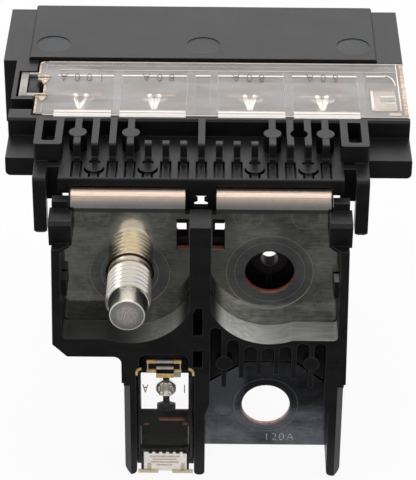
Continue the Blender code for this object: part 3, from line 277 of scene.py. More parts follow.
# seats, rings and discs: middle, radius and then a share or a line's width; bare: where cut copper shows, while
# cut edges elsewhere get painted shade
# under is the colour of the painted shade on the sheet
busBarLook = {
    "dark": rgb(0.14, 0.147, 0.143), "light": rgb(0.54, 0.54, 0.505), "markHighlight": rgb(0.85, 0.85, 0.83),
    "seat": rgb(0.15, 0.155, 0.18), "foldHighlight": rgb(0.38, 0.3, 0.25), "foldHighlightDim": rgb(0.27, 0.22, 0.19),
    "copper": rgb(0.85, 0.3, 0.15), "copperDark": rgb(0.45, 0.15, 0.08), "roughness": 0.03, "blur": 0.3,
    # stain: here a painted reflection of the stud, warm and light above it
    "dim": 0.55, "stain": ((-12.0, -13.4), 3.8, rgb(0.95, 0.87, 0.74)), "under": rgb(0.12, 0.12, 0.12),
    "shaded": 0.9, "paintedCutShade": rgb(0.035, 0.02, 0.015), "bare": ((0.0, -10.0), 90.0), "fold": (-7.3, -5.7),
    "bendEnd": -8.4, "shadeEnd": -90.0, "shadeDark": rgb(0.1, 0.1, 0.1), "shadeLight": rgb(0.1, 0.1, 0.1),
    "seats": [(batterySpot, 7.4, 0.55), (studSpot, 7.0, 0.5)],
    "rings": [(batterySpot, 7.65, 0.14), (batterySpot, 6.2, 0.1), (studSpot, 5.0, 0.12), (studSpot, 7.0, 0.12)],
    "discs": [((18.3, -8.9), 2.5, 0.6), ((-18.3, -8.9), 2.5, 0.6), ((8.2, -8.9), 2.5, 0.6),
              ((-8.2, -8.9), 2.5, 0.6), ((-21.5, -26.8), 1.7, 0.6), ((21.8, -25.9), 1.7, 0.6)],
}
padLook = {
    "dark": rgb(0.028, 0.029, 0.034), "light": rgb(0.12, 0.124, 0.14), "markHighlight": rgb(0.4, 0.4, 0.42),
    "seat": rgb(0.06, 0.065, 0.08), "foldHighlight": rgb(0.09, 0.09, 0.095), "foldHighlightDim": rgb(0.09, 0.09, 0.095),
    "copper": rgb(0.75, 0.42, 0.28), "copperDark": rgb(0.4, 0.17, 0.1), "roughness": 0.12, "blur": 0.0,
    "dim": 0.0, "stain": ((4.2, -44.5), 4.6, rgb(0.24, 0.25, 0.3)), "under": rgb(0.05, 0.05, 0.05),
    "shaded": 0.0, "paintedCutShade": rgb(0.02, 0.02, 0.022), "bare": (padSpot, 5.2), "fold": (-2.0, -1.0),
    "bendEnd": -20.0, "shadeEnd": 0.3, "shadeDark": rgb(0.006, 0.0065, 0.0055),
    "shadeLight": rgb(0.014, 0.015, 0.012), "seats": [(padSpot, 5.5, 0.4)], "rings": [(padSpot, 5.86, 0.12)],
    "discs": [(padSpot, 4.55, 0.9)],
}


# Zinc-plated steel with a faint yellow bloom: painted shade in the thread roots, rear flanks painted a lighter
# gold that the plate mirrors as a painted reflection, a darker point, and a dull end with a painted highlight
# on its rim
def zincFinish():
    look = {"pale": rgb(0.58, 0.57, 0.56), "bloom": rgb(0.74, 0.67, 0.52), "bloomBack": (-2.5, 1.0),
            "root": rgb(0.34, 0.3, 0.22), "rootRadii": (3.32, 3.55), "rootFront": -3.4,
            "rearFlankLight": rgb(0.87, 0.79, 0.63), "rearFlankLightFront": -3.9, "point": rgb(0.3, 0.27, 0.2), "pointBack": -3.7,
            "endBack": -6.9, "middle": rgb(0.75, 0.68, 0.66), "ring": rgb(0.38, 0.38, 0.37),
            "ringRadii": (1.2, 2.6), "pit": rgb(0.1, 0.1, 0.1), "rim": rgb(0.95, 0.94, 0.9),
            "rimHighlightRadii": (2.8, 2.95), "blurBack": -3.6}
    finish = Finish("zincPlate")
    bloom = finish.noise(2.4, 3.0).ramp(0.4, 0.7)
    speck = finish.noise(0.2, 3.0)
    x, y, z = finish.drawn()
    ny = finish.facing()[1]
    away = finish.distance(x, z, studSpot)
    body = finish.mix(bloom * 0.3 + y.ramp(*look["bloomBack"]) * 0.3, look["pale"], look["bloom"])
    # painted shade: the roots of the thread are coloured darker
    rootShade = (1.0 - away.ramp(*look["rootRadii"])) * (y > look["rootFront"])
    body = finish.mix(rootShade, body, look["root"])
    # painted reflection: flanks facing the plate are coloured lighter gold and less metallic, so the plate
    # mirrors them as if lit
    behind = (ny > 0.1) * (y > look["rearFlankLightFront"])
    body = finish.mix(behind * 0.85, body, look["rearFlankLight"])
    body = finish.mix((y < look["pointBack"]) * 0.55, body, look["point"])
    end = finish.mix(away.ramp(*look["ringRadii"]), look["middle"], look["ring"])
    end = finish.mix(speck.ramp(0.42, 0.58) * 0.65, end, look["pit"])
    # painted highlight: a bright ring round the edge of the end face
    end = finish.mix(away.ramp(*look["rimHighlightRadii"]), end, look["rim"])
    face = y < look["endBack"]
    return finish.surface(Base_Color=finish.mix(face, body, end), Metallic=1.0 - behind * 0.5 - face * 0.4,
                          Roughness=0.16 + speck * 0.08 + face * 0.2 + (y < look["blurBack"]) * 0.08,
                          Normal=finish.bump(speck, 0.01))


def linkFinish(name, pale, deep):
    finish = Finish(name)
    stain = finish.noise(1.5, 3.0).ramp(0.35, 0.7)
    speck = finish.noise(0.15, 2.0)
    return finish.surface(Base_Color=finish.mix(stain, pale, deep), Metallic=1.0,
                          Roughness=0.26 + speck * 0.12, Normal=finish.bump(speck, 0.006))


def tinFinish():
    finish = Finish("brightTin")
    skin = finish.noise(0.7, 3.0)
    colour = finish.mix(skin.ramp(0.35, 0.65), rgb(1.0, 0.95, 0.87), rgb(0.86, 0.78, 0.68))
    return finish.surface(Base_Color=colour, Metallic=0.8, Roughness=0.22 + skin * 0.14,
                          Normal=finish.bump(skin, 0.03))


# Clear polycarbonate: hazy over its face, warmer where it is seen edge on; only its outer face veils the inside
def clearFinish(name, look):
    finish = Finish(name)
    depth = finish.drawn()[look["axis"]]
    haze = finish.noise(3.5, 3.0, (0.6, 1.2, 1.0)).ramp(0.35, 0.7)
    ripple = finish.noise(5.0, 2.0)
    outer = depth.ramp(*look["outer"])
    rounded, edge = finish.softEdge(0.12)
    face = finish.mix(haze, look["face"], look["cloud"])
    colour = finish.mix(edge * 0.7, face, look["edge"])
    alpha = look["inside"] + outer * (look["veil"] + haze * look["hazeVeil"]) + edge * look["edgeVeil"]
    return finish.surface(Base_Color=colour, Roughness=0.06 + haze * 0.05, IOR=1.5, Alpha=alpha.under(1.0),
                          Normal=finish.bump(ripple, 0.02, rounded))


# Edges and bosses of the covers, where the moulding is thick enough to show its own tint; the same finish also
# colours painted highlight lines and painted shadow strips
def mouldedTint(name, look):
    finish = Finish(name)
    patch = finish.noise(look["patch"], 3.0).ramp(0.35, 0.68)
    grain = finish.noise(0.25, 2.0)
    rounded, edge = finish.softEdge(0.08)
    colour = finish.mix(edge * 0.6, finish.mix(patch, look["first"], look["second"]), look["edge"])
    return finish.surface(Base_Color=colour, Roughness=0.18 + grain * 0.1, Alpha=look["alpha"] + patch * 0.05,
                          Coat_Weight=look.get("coat", 0.4), Specular_IOR_Level=look.get("shine", 0.5),
                          Normal=finish.bump(grain, 0.01, rounded))


coverLook = {"axis": 2, "outer": (0.0, 0.15), "inside": 0.02, "veil": 0.36, "hazeVeil": 0.07, "edgeVeil": 0.15,
             "face": rgb(0.8, 0.75, 0.72), "cloud": rgb(0.76, 0.74, 0.73), "edge": rgb(0.95, 0.86, 0.76)}
holderCoverLook = {"axis": 1, "outer": (0.9, 0.7), "inside": 0.005, "veil": 0.01, "hazeVeil": 0.012,
                   "edgeVeil": 0.2, "face": rgb(0.9, 0.85, 0.84), "cloud": rgb(0.85, 0.82, 0.82),
                   "edge": rgb(0.9, 0.8, 0.64)}
tints = {  # name, patch size in mm and colours of each moulded tint
    "frostHighlight": {"patch": 0.8, "first": rgb(0.95, 0.9, 0.86), "second": rgb(0.9, 0.8, 0.76),
              "edge": rgb(1.0, 0.97, 0.93), "alpha": 0.9},
    "blush": {"patch": 1.5, "first": rgb(0.88, 0.76, 0.65), "second": rgb(0.76, 0.64, 0.55),
              "edge": rgb(0.9, 0.82, 0.76), "alpha": 0.6},
    "cream": {"patch": 1.2, "first": rgb(0.5, 0.47, 0.42), "second": rgb(0.62, 0.57, 0.48),
              "edge": rgb(0.85, 0.78, 0.68), "alpha": 0.9},
    "amber": {"patch": 0.7, "first": rgb(0.72, 0.44, 0.14), "second": rgb(0.88, 0.64, 0.3),
              "edge": rgb(1.0, 0.82, 0.5), "alpha": 0.9},
    "rust": {"patch": 0.7, "first": rgb(0.5, 0.3, 0.18), "second": rgb(0.74, 0.56, 0.42),
             "edge": rgb(0.8, 0.6, 0.42), "alpha": 0.9},
    "clip": {"patch": 0.3, "first": rgb(0.3, 0.17, 0.09), "second": rgb(0.85, 0.72, 0.56),
             "edge": rgb(0.95, 0.85, 0.7), "alpha": 0.9},
    "bone": {"patch": 0.5, "first": rgb(0.23, 0.215, 0.19), "second": rgb(0.3, 0.285, 0.25),
             "edge": rgb(0.5, 0.48, 0.44), "alpha": 0.92},
    "pearl": {"patch": 1.2, "first": rgb(0.85, 0.58, 0.48), "second": rgb(0.88, 0.68, 0.58),
              "edge": rgb(0.7, 0.5, 0.38), "alpha": 0.26},
    "honey": {"patch": 0.7, "first": rgb(0.8, 0.58, 0.26), "second": rgb(0.9, 0.76, 0.5),
              "edge": rgb(0.6, 0.38, 0.12), "alpha": 0.55},
    "veil": {"patch": 1.5, "first": rgb(0.9, 0.86, 0.85), "second": rgb(0.8, 0.8, 0.82),
             "edge": rgb(0.9, 0.86, 0.84), "alpha": 0.25},
    "paintedShadow": {"patch": 1.5, "first": rgb(0.004, 0.004, 0.003), "second": rgb(0.01, 0.008, 0.006),
              "edge": rgb(0.08, 0.05, 0.03), "alpha": 0.93, "coat": 0.0, "shine": 0.25},
    "ink": {"patch": 0.5, "first": rgb(0.16, 0.09, 0.06), "second": rgb(0.26, 0.17, 0.12),
            "edge": rgb(0.3, 0.21, 0.16), "alpha": 0.75, "coat": 0.0},
    "chalk": {"patch": 0.6, "first": rgb(0.6, 0.62, 0.65), "second": rgb(0.75, 0.76, 0.78),
              "edge": rgb(0.6, 0.6, 0.6), "alpha": 0.85},
}


finishes = {
    "nylon": blackNylon(),
    "busBar": plateFinish("tinnedBusBar", busBarLook),
    "pad": plateFinish("tinnedPad", padLook),
    "zinc": zincFinish(),
    "link": linkFinish("linkCopper", rgb(0.7, 0.58, 0.5), rgb(0.5, 0.36, 0.28)),
    "darkLink": linkFinish("linkShaded", rgb(0.09, 0.095, 0.1), rgb(0.02, 0.02, 0.02)),
    "copper": linkFinish("copperReflection", rgb(0.32, 0.12, 0.06), rgb(0.2, 0.07, 0.04)),
    "tin": tinFinish(),
    "clear": clearFinish("clearCover", coverLook),
    "clearHolder": clearFinish("clearHolder", holderCoverLook),
}
for tint, tintLook in tints.items():
    finishes[tint] = mouldedTint(tint + "Plastic", tintLook)
print("finishes made:", len(finishes))


def dress(material, *names):
    for name in names:
        slots = nodes[name].data.materials
        slots.clear()
        slots.append(material)


dress(finishes["nylon"], "upper_housing", "lower_frame")
dress(finishes["busBar"], "bus_bar", "terminal_blade_1", "terminal_blade_2", "terminal_blade_3",
      "terminal_blade_4")
dress(finishes["pad"], "alternator_plate")
dress(finishes["zinc"], "stud_bolt")
dress(finishes["link"], "link_100a", "link_80a_left", "link_80a_right", "link_60a")
dress(finishes["darkLink"], "link_120a")
dress(finishes["tin"], "tin_bead_100a", "tin_bead_80a_left", "tin_bead_80a_right", "tin_bead_60a",
      "tin_bead_120a")
dress(finishes["clear"], "upper_clear_cover", "upper_underside_cover")
dress(finishes["clearHolder"], "lower_clear_cover", "lower_rear_cover")
print("nodes dressed")


def addPiece(name, shape, finish, replaced=(), sharp=35.0):
    bmesh.ops.remove_doubles(shape, verts=shape.verts, dist=0.000002)
    bmesh.ops.recalc_face_normals(shape, faces=shape.faces)
    mesh = bpy.data.meshes.new(name)
    shape.to_mesh(mesh)
    shape.free()
    mesh.shade_smooth()
    mesh.set_sharp_from_angle(angle=math.radians(sharp))
    mesh.materials.append(finishes[finish])
    piece = bpy.data.objects.new(name, mesh)
    bpy.context.scene.collection.objects.link(piece)
    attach(piece, "root")
    if replaced:
        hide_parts(*replaced)


# Stud with a rolled thread, run out at both ends, a plain dog point and a hexagon head; the tip and the neck
# are turned from pairs of radius and place back
stud = {
    "radius": 3.95, "root": 3.3, "pitch": 1.25, "rootFlat": 0.1, "crest": (0.44, 0.56), "steps": 48,
    "spareTurns": 3, "threadFront": -3.2, "threadBack": 5.0, "runOut": 0.3, "lead": 3.35, "fade": 0.9,
    "tip": ((0.0, -7.0), (2.85, -7.0), (3.07, -6.92), (3.15, -6.7), (3.3, -4.4), (3.5, -3.6), (3.5, -3.0),
            (0.0, -3.0)),
    "neck": ((0.0, 4.7), (3.85, 4.7), (3.95, 5.0), (3.95, 8.0), (0.0, 8.0)),
    "headFront": 7.8, "headBack": 11.0, "headFlats": 12.0, "headRound": 0.25,
}


def makeStud():
    radius, root, pitch = stud["radius"], stud["root"], stud["pitch"]
    front, back = stud["threadFront"], stud["threadBack"]
    axis = Vector((0, 1, 0))
    centre = at(studSpot[0], 0, studSpot[1])
    shape = bmesh.new()
    turns = math.ceil((back - front) / pitch) + stud["spareTurns"]
    start = front - stud["spareTurns"] / 2 * pitch
    tooth = ((0.0, root), (stud["rootFlat"], root), (stud["crest"][0], radius), (stud["crest"][1], radius),
             (1.0 - stud["rootFlat"], root), (1.0, root))
    line = [shape.verts.new(at(studSpot[0] + out, start + share * pitch, studSpot[1])) for share, out in tooth]
    edges = [shape.edges.new(pair) for pair in zip(line, line[1:])]
    bmesh.ops.spin(shape, geom=line + edges, cent=centre, axis=axis, dvec=axis * (pitch * mm / stud["steps"]),
                   angle=2 * math.pi * turns, steps=stud["steps"] * turns)
    bmesh.ops.remove_doubles(shape, verts=shape.verts, dist=0.00001)
    for place, side in ((front - stud["runOut"], -1), (back, 1)):
        bmesh.ops.bisect_plane(shape, geom=shape.verts[:] + shape.edges[:] + shape.faces[:], dist=1e-7,
                               plane_co=at(0, place, 0), plane_no=axis * side, clear_outer=True)
    fadeStart = at(0, front, 0).y - stud["runOut"] * mm
    for vert in shape.verts:  # the first thread fades into a cone
        spoke = Vector((vert.co.x - centre.x, 0, vert.co.z - centre.z))
        limit = stud["lead"] * mm + max(0.0, vert.co.y - fadeStart) * stud["fade"]
        if spoke.length > limit:
            vert.co.x = centre.x + spoke.x * limit / spoke.length
            vert.co.z = centre.z + spoke.z * limit / spoke.length
    bmesh.ops.holes_fill(shape, edges=[edge for edge in shape.edges if edge.is_boundary])
    for profile in (stud["tip"], stud["neck"]):
        verts = [shape.verts.new(at(studSpot[0] + out, far, studSpot[1])) for out, far in profile]
        edges = [shape.edges.new(pair) for pair in zip(verts, verts[1:])]
        bmesh.ops.spin(shape, geom=verts + edges, cent=centre, axis=axis, angle=2 * math.pi,
                       steps=stud["steps"], use_merge=True)
    across = stud["headFlats"] / 2 / math.cos(math.pi / 6) * mm
    middle = at(studSpot[0], (stud["headFront"] + stud["headBack"]) / 2, studSpot[1])
    head = bmesh.ops.create_cone(shape, cap_ends=True, segments=6, radius1=across, radius2=across,
                                 depth=(stud["headBack"] - stud["headFront"]) * mm,
                                 matrix=Matrix.Translation(middle) @ Matrix.Rotation(math.pi / 2, 4, "X"))
    rims = {edge for vert in head["verts"] for edge in vert.link_edges}
    bmesh.ops.bevel(shape, geom=list(rims), offset=stud["headRound"] * mm, affect="EDGES", segments=2,
                    profile=0.5, material=-1)
    addPiece("threadedStud", shape, "zinc", ["stud_bolt"], 40.0)
    print("stud made")


makeStud()


# Solids that the pieces are made of; each range is (low, high) on the drawing, in mm
def soften(shape, verts, size):
    if size:
        edges = {edge for vert in verts for edge in vert.link_edges}
        bmesh.ops.bevel(shape, geom=list(edges), offset=size * mm, affect="EDGES", segments=2, profile=0.5,
                        material=-1, clamp_overlap=True)


def addBlock(shape, across, back, up, soft=0.0):
    low, high = at(across[0], back[0], up[0]), at(across[1], back[1], up[1])
    size = high - low
    made = bmesh.ops.create_cube(shape, size=1.0, matrix=(Matrix.Translation((low + high) / 2)
                                                          @ Matrix.Diagonal((size.x, size.y, size.z, 1.0))))
    soften(shape, made["verts"], soft)


def addOutline(shape, points, axis, low, high, soft=0.0, hollow=0.0):  # hollow leaves only a rim this wide
    places = {"X": lambda one, two: at(low, one, two), "Y": lambda one, two: at(one, low, two),
              "Z": lambda one, two: at(one, two, low)}
    verts = [shape.verts.new(places[axis](*point)) for point in points]
    faces = [shape.faces.new(verts)]
    if hollow:
        rim = bmesh.ops.inset_region(shape, faces=faces, thickness=hollow * mm, use_boundary=True)
        bmesh.ops.delete(shape, geom=faces, context="FACES_ONLY")
        faces = rim["faces"]
    grown = bmesh.ops.extrude_face_region(shape, geom=faces)
    far = [item for item in grown["geom"] if isinstance(item, bmesh.types.BMVert)]
    step = Vector([(high - low) * mm * (name == axis) for name in "XYZ"])
    bmesh.ops.translate(shape, verts=far, vec=step)
    near = {vert for face in faces if face.is_valid for vert in face.verts} if hollow else set(verts)
    soften(shape, near | set(far), soft)


def addArc(shape, centre, radii, back, start, sweep, steps=12):  # a bar bent round a point, angles in degrees
    low, high = back
    verts = [shape.verts.new(at(centre[0] + radius, far, centre[1]))
             for radius, far in ((radii[0], low), (radii[1], low), (radii[1], high), (radii[0], high))]
    face = shape.faces.new(verts)
    middle = at(centre[0], low, centre[1])
    bmesh.ops.rotate(shape, verts=verts, cent=middle, matrix=Matrix.Rotation(-math.radians(start), 3, "Y"))
    bmesh.ops.spin(shape, geom=[face] + list(face.edges) + verts, cent=middle, axis=(0, -1, 0),
                   angle=math.radians(sweep), steps=steps)


def corners(left, right, front, back, cut):  # an oblong with its corners taken off
    return [(left + cut, front), (right - cut, front), (right, front + cut), (right, back - cut),
            (right - cut, back), (left + cut, back), (left, back - cut), (left, front + cut)]


def addWords(name, words, look, finish):
    data = bpy.data.curves.new(name, "FONT")
    data.body = words
    data.align_x = "CENTER"
    data.align_y = "CENTER"
    data.space_character = look["spread"]
    data.extrude = look["depth"] / look["size"] / 2
    data.offset = look["thin"]
    outline = bpy.data.objects.new(name + "Outline", data)
    mesh = bpy.data.meshes.new_from_object(outline)
    shape = bmesh.new()
    shape.from_mesh(mesh)
    bmesh.ops.transform(shape, verts=shape.verts, matrix=(
        Matrix.Translation(at(*look["place"])) @ look["turn"]
        @ Matrix.Diagonal((look["size"] * look["narrow"] * mm, look["size"] * mm, look["size"] * mm, 1.0))))
    bpy.data.objects.remove(outline)
    bpy.data.curves.remove(data)
    bpy.data.meshes.remove(mesh)
    addPiece(name, shape, finish)


def addRows(shape, rows, shift=(0.0, 0.0, 0.0)):  # blocks; a row: left, right, front, back, low, high, rounding
    x, y, z = shift
    for left, right, front, back, low, high, soft in rows:
        addBlock(shape, (x + left, x + right), (y + front, y + back), (z + low, z + high), soft)


def addRowPiece(name, rows, finish, shift=(0.0, 0.0, 0.0), replaced=()):
    shape = bmesh.new()
    addRows(shape, rows, shift)
    addPiece(name, shape, finish, replaced)


# Clear cover over the four windows: a sheet with walls and dividers below it
upperCover = {
    "outline": ((-29.79, 25.3), (36.9, 25.3), (36.9, 44.8), (-29.25, 44.8), (-29.88, 44.53), (-30.15, 43.9),
                (-30.15, 37.5), (-28.95, 37.0), (-28.8, 36.4), (-28.8, 32.8), (-28.95, 32.2), (-30.15, 31.7),
                (-30.15, 25.66)),
    "left": -30.15, "right": 35.25, "front": 25.3, "back": 44.8, "top": 0.2, "sheet": 1.1, "rounding": 0.08,
    "slit": 0.02, "wall": 1.0, "wallDrop": 0.9, "bottom": -3.9, "dividers": (-15.45, -2.1, 2.1, 15.55, 28.9),
    "dividerWidth": 1.3,
}
windows = ((-26.5, -16.25), (-14.75, -2.9), (2.85, 14.85), (16.35, 28.25))


def makeUpperCover():
    look = upperCover
    left, right, front, back, top = (look[key] for key in ("left", "right", "front", "back", "top"))
    under = top - look["sheet"]
    shape = bmesh.new()
    addOutline(shape, look["outline"], "Z", under, top, look["rounding"])
    low, high = look["bottom"], under - look["slit"]
    addOutline(shape, [(left, front), (right, front), (right, back), (left, back)], "Z", low,
               high - look["wallDrop"], 0.0, look["wall"])
    inset, half = look["wall"] + look["slit"], look["dividerWidth"] / 2
    for spot in look["dividers"]:
        addBlock(shape, (spot - half, spot + half), (front + inset, back - inset), (low, high))
    addPiece("upperCover", shape, "clear", ["upper_clear_cover"])


# Lines on the cover: moulded ridges coloured pale as a painted highlight, and thin pale strips that are painted
# highlight lines; the rows' heights are measured from its top
coverHighlightLines = {
    "ridge": (39.3, 39.85), "lean": 0.01, "frontRidge": (25.78, 26.45), "rise": 0.12, "rounding": 0.05,
    "shortRidges": ((-1.35, 1.5), (29.95, 33.5)),
    "lip": ((24.7, -0.35), (25.55, -0.35), (25.55, 0.1), (25.3, 0.1), (24.7, -0.2)),
    "edges": ((-28.5, 36.8, 25.0, 25.2, -0.3, 0.0, 0.05), (35.5, 35.75, 27.2, 44.6, 0.0, 0.12, 0.05)),
    "bend": ((33.4, 40.3), (34.2, 40.0), (34.75, 39.2), (35.1, 37.9), (35.25, 36.6)),
    "bendWidth": (0.2, 0.16), "bendRise": 0.1,
    "faint": ((-26.6, 35.3, 41.4, 41.65, 0.0, 0.06, 0.02), (-28.6, 36.4, 44.35, 44.75, 0.0, 0.08, 0.03),
              (33.4, 35.6, 25.35, 26.5, 0.0, 0.1, 0.1)),
    "windowEdge": (26.6, 26.85), "windowReach": 0.5, "windowRise": 0.04, "windowRounding": 0.02,
    "glint": ((-2.6, 3.0, 35.5, 35.75, -1.75, -1.7, 0.0),), "glints": (-21.6, -7.9, 7.4, 20.4),
    "band": ((-0.07, 0.07, 26.9, 41.3, 0.0, 0.03, 0.0),), "bandOffset": 0.72,
    "bands": ((-28.9, -28.7, 25.8, 43.6, 0.0, 0.03, 0.0), (-28.6, 35.3, 43.1, 43.3, 0.0, 0.03, 0.0)),
}


def makeCoverLines():
    look = coverHighlightLines
    top = upperCover["top"]
    upward = (0.0, 0.0, top)
    # painted highlight: the ridges and lips are near-white, standing for the light lines along them
    ridges = bmesh.new()
    for start, end in windows + look["shortRidges"]:
        leaning = [far + start * look["lean"] for far in look["ridge"]]
        addBlock(ridges, (start, end), leaning, (top, top + look["rise"]), look["rounding"])
    lip = [(far, top + height) for far, height in look["lip"]]
    for start, end in windows:
        addBlock(ridges, (start, end), look["frontRidge"], (top, top + look["rise"]), look["rounding"])
        addOutline(ridges, lip, "X", start, end)
    addRows(ridges, look["edges"], upward)
    wide, deep = look["bendWidth"]
    bend = list(look["bend"]) + [(across - wide, far - deep) for across, far in reversed(look["bend"])]
    addOutline(ridges, bend, "Z", top, top + look["bendRise"])
    addPiece("coverRidges", ridges, "frostHighlight")

    # painted highlight: thin pale lines and glints on and under the cover
    faint = bmesh.new()
    addRows(faint, look["faint"], upward)
    for start, end in windows:
        addBlock(faint, (start - look["windowReach"], end), look["windowEdge"], (top, top + look["windowRise"]),
                 look["windowRounding"])
    for spot in look["glints"]:
        addRows(faint, look["glint"], (spot, 0.0, 0.0))
    addPiece("coverHighlightLines", faint, "blush")
    # painted highlight: faint pale lines beside each divider and along two walls, seen through the sheet
    bands = bmesh.new()
    for spot in upperCover["dividers"]:
        for side in (-1, 1):
            addRows(bands, look["band"], (spot + side * look["bandOffset"], 0.0, top))
    addRows(bands, look["bands"], upward)
    addPiece("coverBandHighlights", bands, "veil")


# Latch loop, clips with the place of their hooks, tinted rims, and the grip at the other end
coverEnds = {
    "latch": ((-33.35, -31.95, 32.4, 41.3, -1.6, -0.15, 0.12), (-31.95, -29.9, 40.4, 41.3, -1.6, -0.15, 0.1),
              (-31.95, -30.3, 32.4, 33.6, -1.6, -0.15, 0.1)),
    "catch": ((-31.85, -29.75, 34.5, 40.3, -2.4, -0.62, 0.12),),
    "clips": ((-30.25, 37.35, ((-30.25, -27.9, 38.395, 39.2, -0.2, 0.3, 0.1),
                               (-30.15, -28.05, 37.35, 38.155, -0.2, 0.25, 0.1))),
              (-30.3, 30.85, ((-30.3, -27.95, 31.72, 32.35, -0.2, 0.3, 0.1),
                              (-30.2, -28.1, 30.85, 31.48, -0.2, 0.25, 0.1)))),
    "hook": ((0.75, 0.1), (1.15, -1.25), (1.6, -1.25), (2.1, 0.1)), "hookHeight": (-0.1, 0.2),
    "hookRounding": 0.06, "gap": ((0.0, 1.75, -0.11, 0.11, 0.0, 0.27, 0.0),),
    "gaps": ((-30.15, 38.28), (-30.25, 31.6)),
    "rims": ((-30.13, -29.75, 25.4, 31.2, 0.0, 0.05, 0.02), (-30.13, -29.75, 39.2, 43.9, 0.0, 0.05, 0.02),
             (-28.82, -28.5, 32.7, 36.1, 0.0, 0.05, 0.02)),
    "rimCorner": ((-30.1, 43.9), (-29.75, 43.7), (-29.2, 44.45), (-29.3, 44.75), (-29.9, 44.45)),
    "rimRise": 0.05, "endRim": ((36.15, 36.88, 25.4, 44.7, 0.0, 0.1, 0.04),),
    "grip": (30.3, 35.0, 26.9, 34.7, 0.35), "gripRise": 0.08, "gripRounding": 0.03, "lipRise": 0.2,
    "lipWidth": 0.2, "lipRounding": 0.02,
    "lips": ((30.45, 30.9, 27.5, 34.3, 0.08, 0.16, 0.02), (32.1, 34.65, 31.9, 32.3, 0.08, 0.18, 0.02),
             (33.1, 34.7, 29.7, 30.1, 0.08, 0.16, 0.02)),
    "eye": (32.15, 34.6, 30.4, 31.85, 0.25), "eyeRise": 0.14,
}
coverRatings = {
    "rows": (("rating100", "100A", -22.05), ("rating80Left", "80A", -8.1), ("rating80Right", "80A", 8.35),
             ("rating60", "60A", 21.9)), "far": 39.0, "lean": 0.01, "rise": 0.16,
    "letters": {"spread": 2.0, "narrow": 0.56, "size": 4.0, "depth": 0.05, "thin": -0.018,
                "turn": Matrix.Rotation(math.pi, 4, "Z")},
}


def makeCoverEnds():
    look = coverEnds
    top = upperCover["top"]
    upward = (0.0, 0.0, top)
    addRowPiece("coverLatch", look["latch"], "bone")
    addRowPiece("catchHead", look["catch"], "nylon")

    clips = bmesh.new()
    low, high = (top + height for height in look["hookHeight"])
    for left, front, rows in look["clips"]:
        addRows(clips, rows, upward)
        addOutline(clips, [(left + across, front + far) for across, far in look["hook"]], "Z", low, high,
                   look["hookRounding"])
    addPiece("coverClips", clips, "clip")
    # painted shadow: near-black strips in the gaps beside the clips
    gaps = bmesh.new()
    for left, back in look["gaps"]:
        addRows(gaps, look["gap"], (left, back, top))
    addPiece("clipGaps", gaps, "paintedShadow")

    rims = bmesh.new()
    addRows(rims, look["rims"], upward)
    addOutline(rims, look["rimCorner"], "Z", top, top + look["rimRise"])
    addRows(rims, look["endRim"], upward)
    addPiece("coverRims", rims, "rust")

    base = top + look["gripRise"]
    grip = bmesh.new()
    addOutline(grip, corners(*look["grip"]), "Z", top, base, look["gripRounding"])
    addPiece("gripPlate", grip, "blush")
    lips = bmesh.new()
    addOutline(lips, corners(*look["grip"]), "Z", base, top + look["lipRise"], look["lipRounding"],
               look["lipWidth"])
    addRows(lips, look["lips"], upward)
    addPiece("gripLips", lips, "frostHighlight")
    eye = bmesh.new()
    addOutline(eye, corners(*look["eye"]), "Z", base, top + look["eyeRise"])
    addPiece("gripEye", eye, "bone")
    for name, words, spot in coverRatings["rows"]:
        place = (spot, coverRatings["far"] + spot * coverRatings["lean"], top + coverRatings["rise"])
        addWords(name, words, {**coverRatings["letters"], "place": place}, "ink")
    print("upper cover made")


# Tin beads cast on the links: two lobes behind a V, the first one hollow. The rows hold name, node, middle,
# width and hollow or not; other pairs are half widths and places back
bead = {
    "rows": (("tinBead100", "tin_bead_100a", -22.2, 1.1, True),
             ("tinBead80Left", "tin_bead_80a_left", -8.75, 1.0, False),
             ("tinBead80Right", "tin_bead_80a_right", 8.6, 1.0, False),
             ("tinBead60", "tin_bead_60a", 21.75, 0.98, False)),
    "low": -2.3, "high": -1.2, "inner": 0.03, "tip": (0.45, 29.6, 29.9), "widest": (1.2, 33.4),
    "shoulder": (0.98, 34.0), "notchBack": 33.8, "notches": ((0.12, 33.7), (0.42, 31.3)), "rounding": 0.16,
    "lobeMiddle": (0.86, 34.9, -1.35), "lobe": (0.6, 0.66, 0.3),
    "foot": ((-0.25, 0.25, 29.1, 30.3, -2.35, -1.5, 0.1),),
    "floor": ((-0.55, 0.55, 31.1, 33.6, -2.35, -2.0, 0.1),),
}


def addDrop(shape, middle, size):  # a round drop of tin, squashed to three half sizes
    sizes = [half * mm for half in size]
    bmesh.ops.create_icosphere(shape, subdivisions=2, radius=1.0, matrix=(
        Matrix.Translation(at(*middle)) @ Matrix.Diagonal((*sizes, 1.0))))


def makeBeads():
    for name, node, spot, wide, hollow in bead["rows"]:
        shape = bmesh.new()
        notchWidth, notchFront = bead["notches"][hollow]
        tipWidth, tipFront, tipBack = bead["tip"]
        widest, widestBack = bead["widest"]
        shoulder, shoulderBack = bead["shoulder"]
        lobe, lobeBack, lobeHeight = bead["lobeMiddle"]
        for side in (-1, 1):
            arm = [(bead["inner"], tipFront), (tipWidth, tipBack), (widest * wide, widestBack),
                   (shoulder * wide, shoulderBack), (notchWidth * wide, bead["notchBack"]),
                   (bead["inner"], notchFront)]
            addOutline(shape, [(spot + side * across, back) for across, back in arm], "Z", bead["low"],
                       bead["high"], bead["rounding"])
            addDrop(shape, (spot + side * lobe * wide, lobeBack, lobeHeight), bead["lobe"])
        addRows(shape, bead["foot"], (spot, 0.0, 0.0))
        if hollow:
            addRows(shape, bead["floor"], (spot, 0.0, 0.0))
        addPiece(name, shape, "tin", [node], 50.0)
    print("beads made")


makeUpperCover()
makeCoverLines()
makeCoverEnds()
makeBeads()


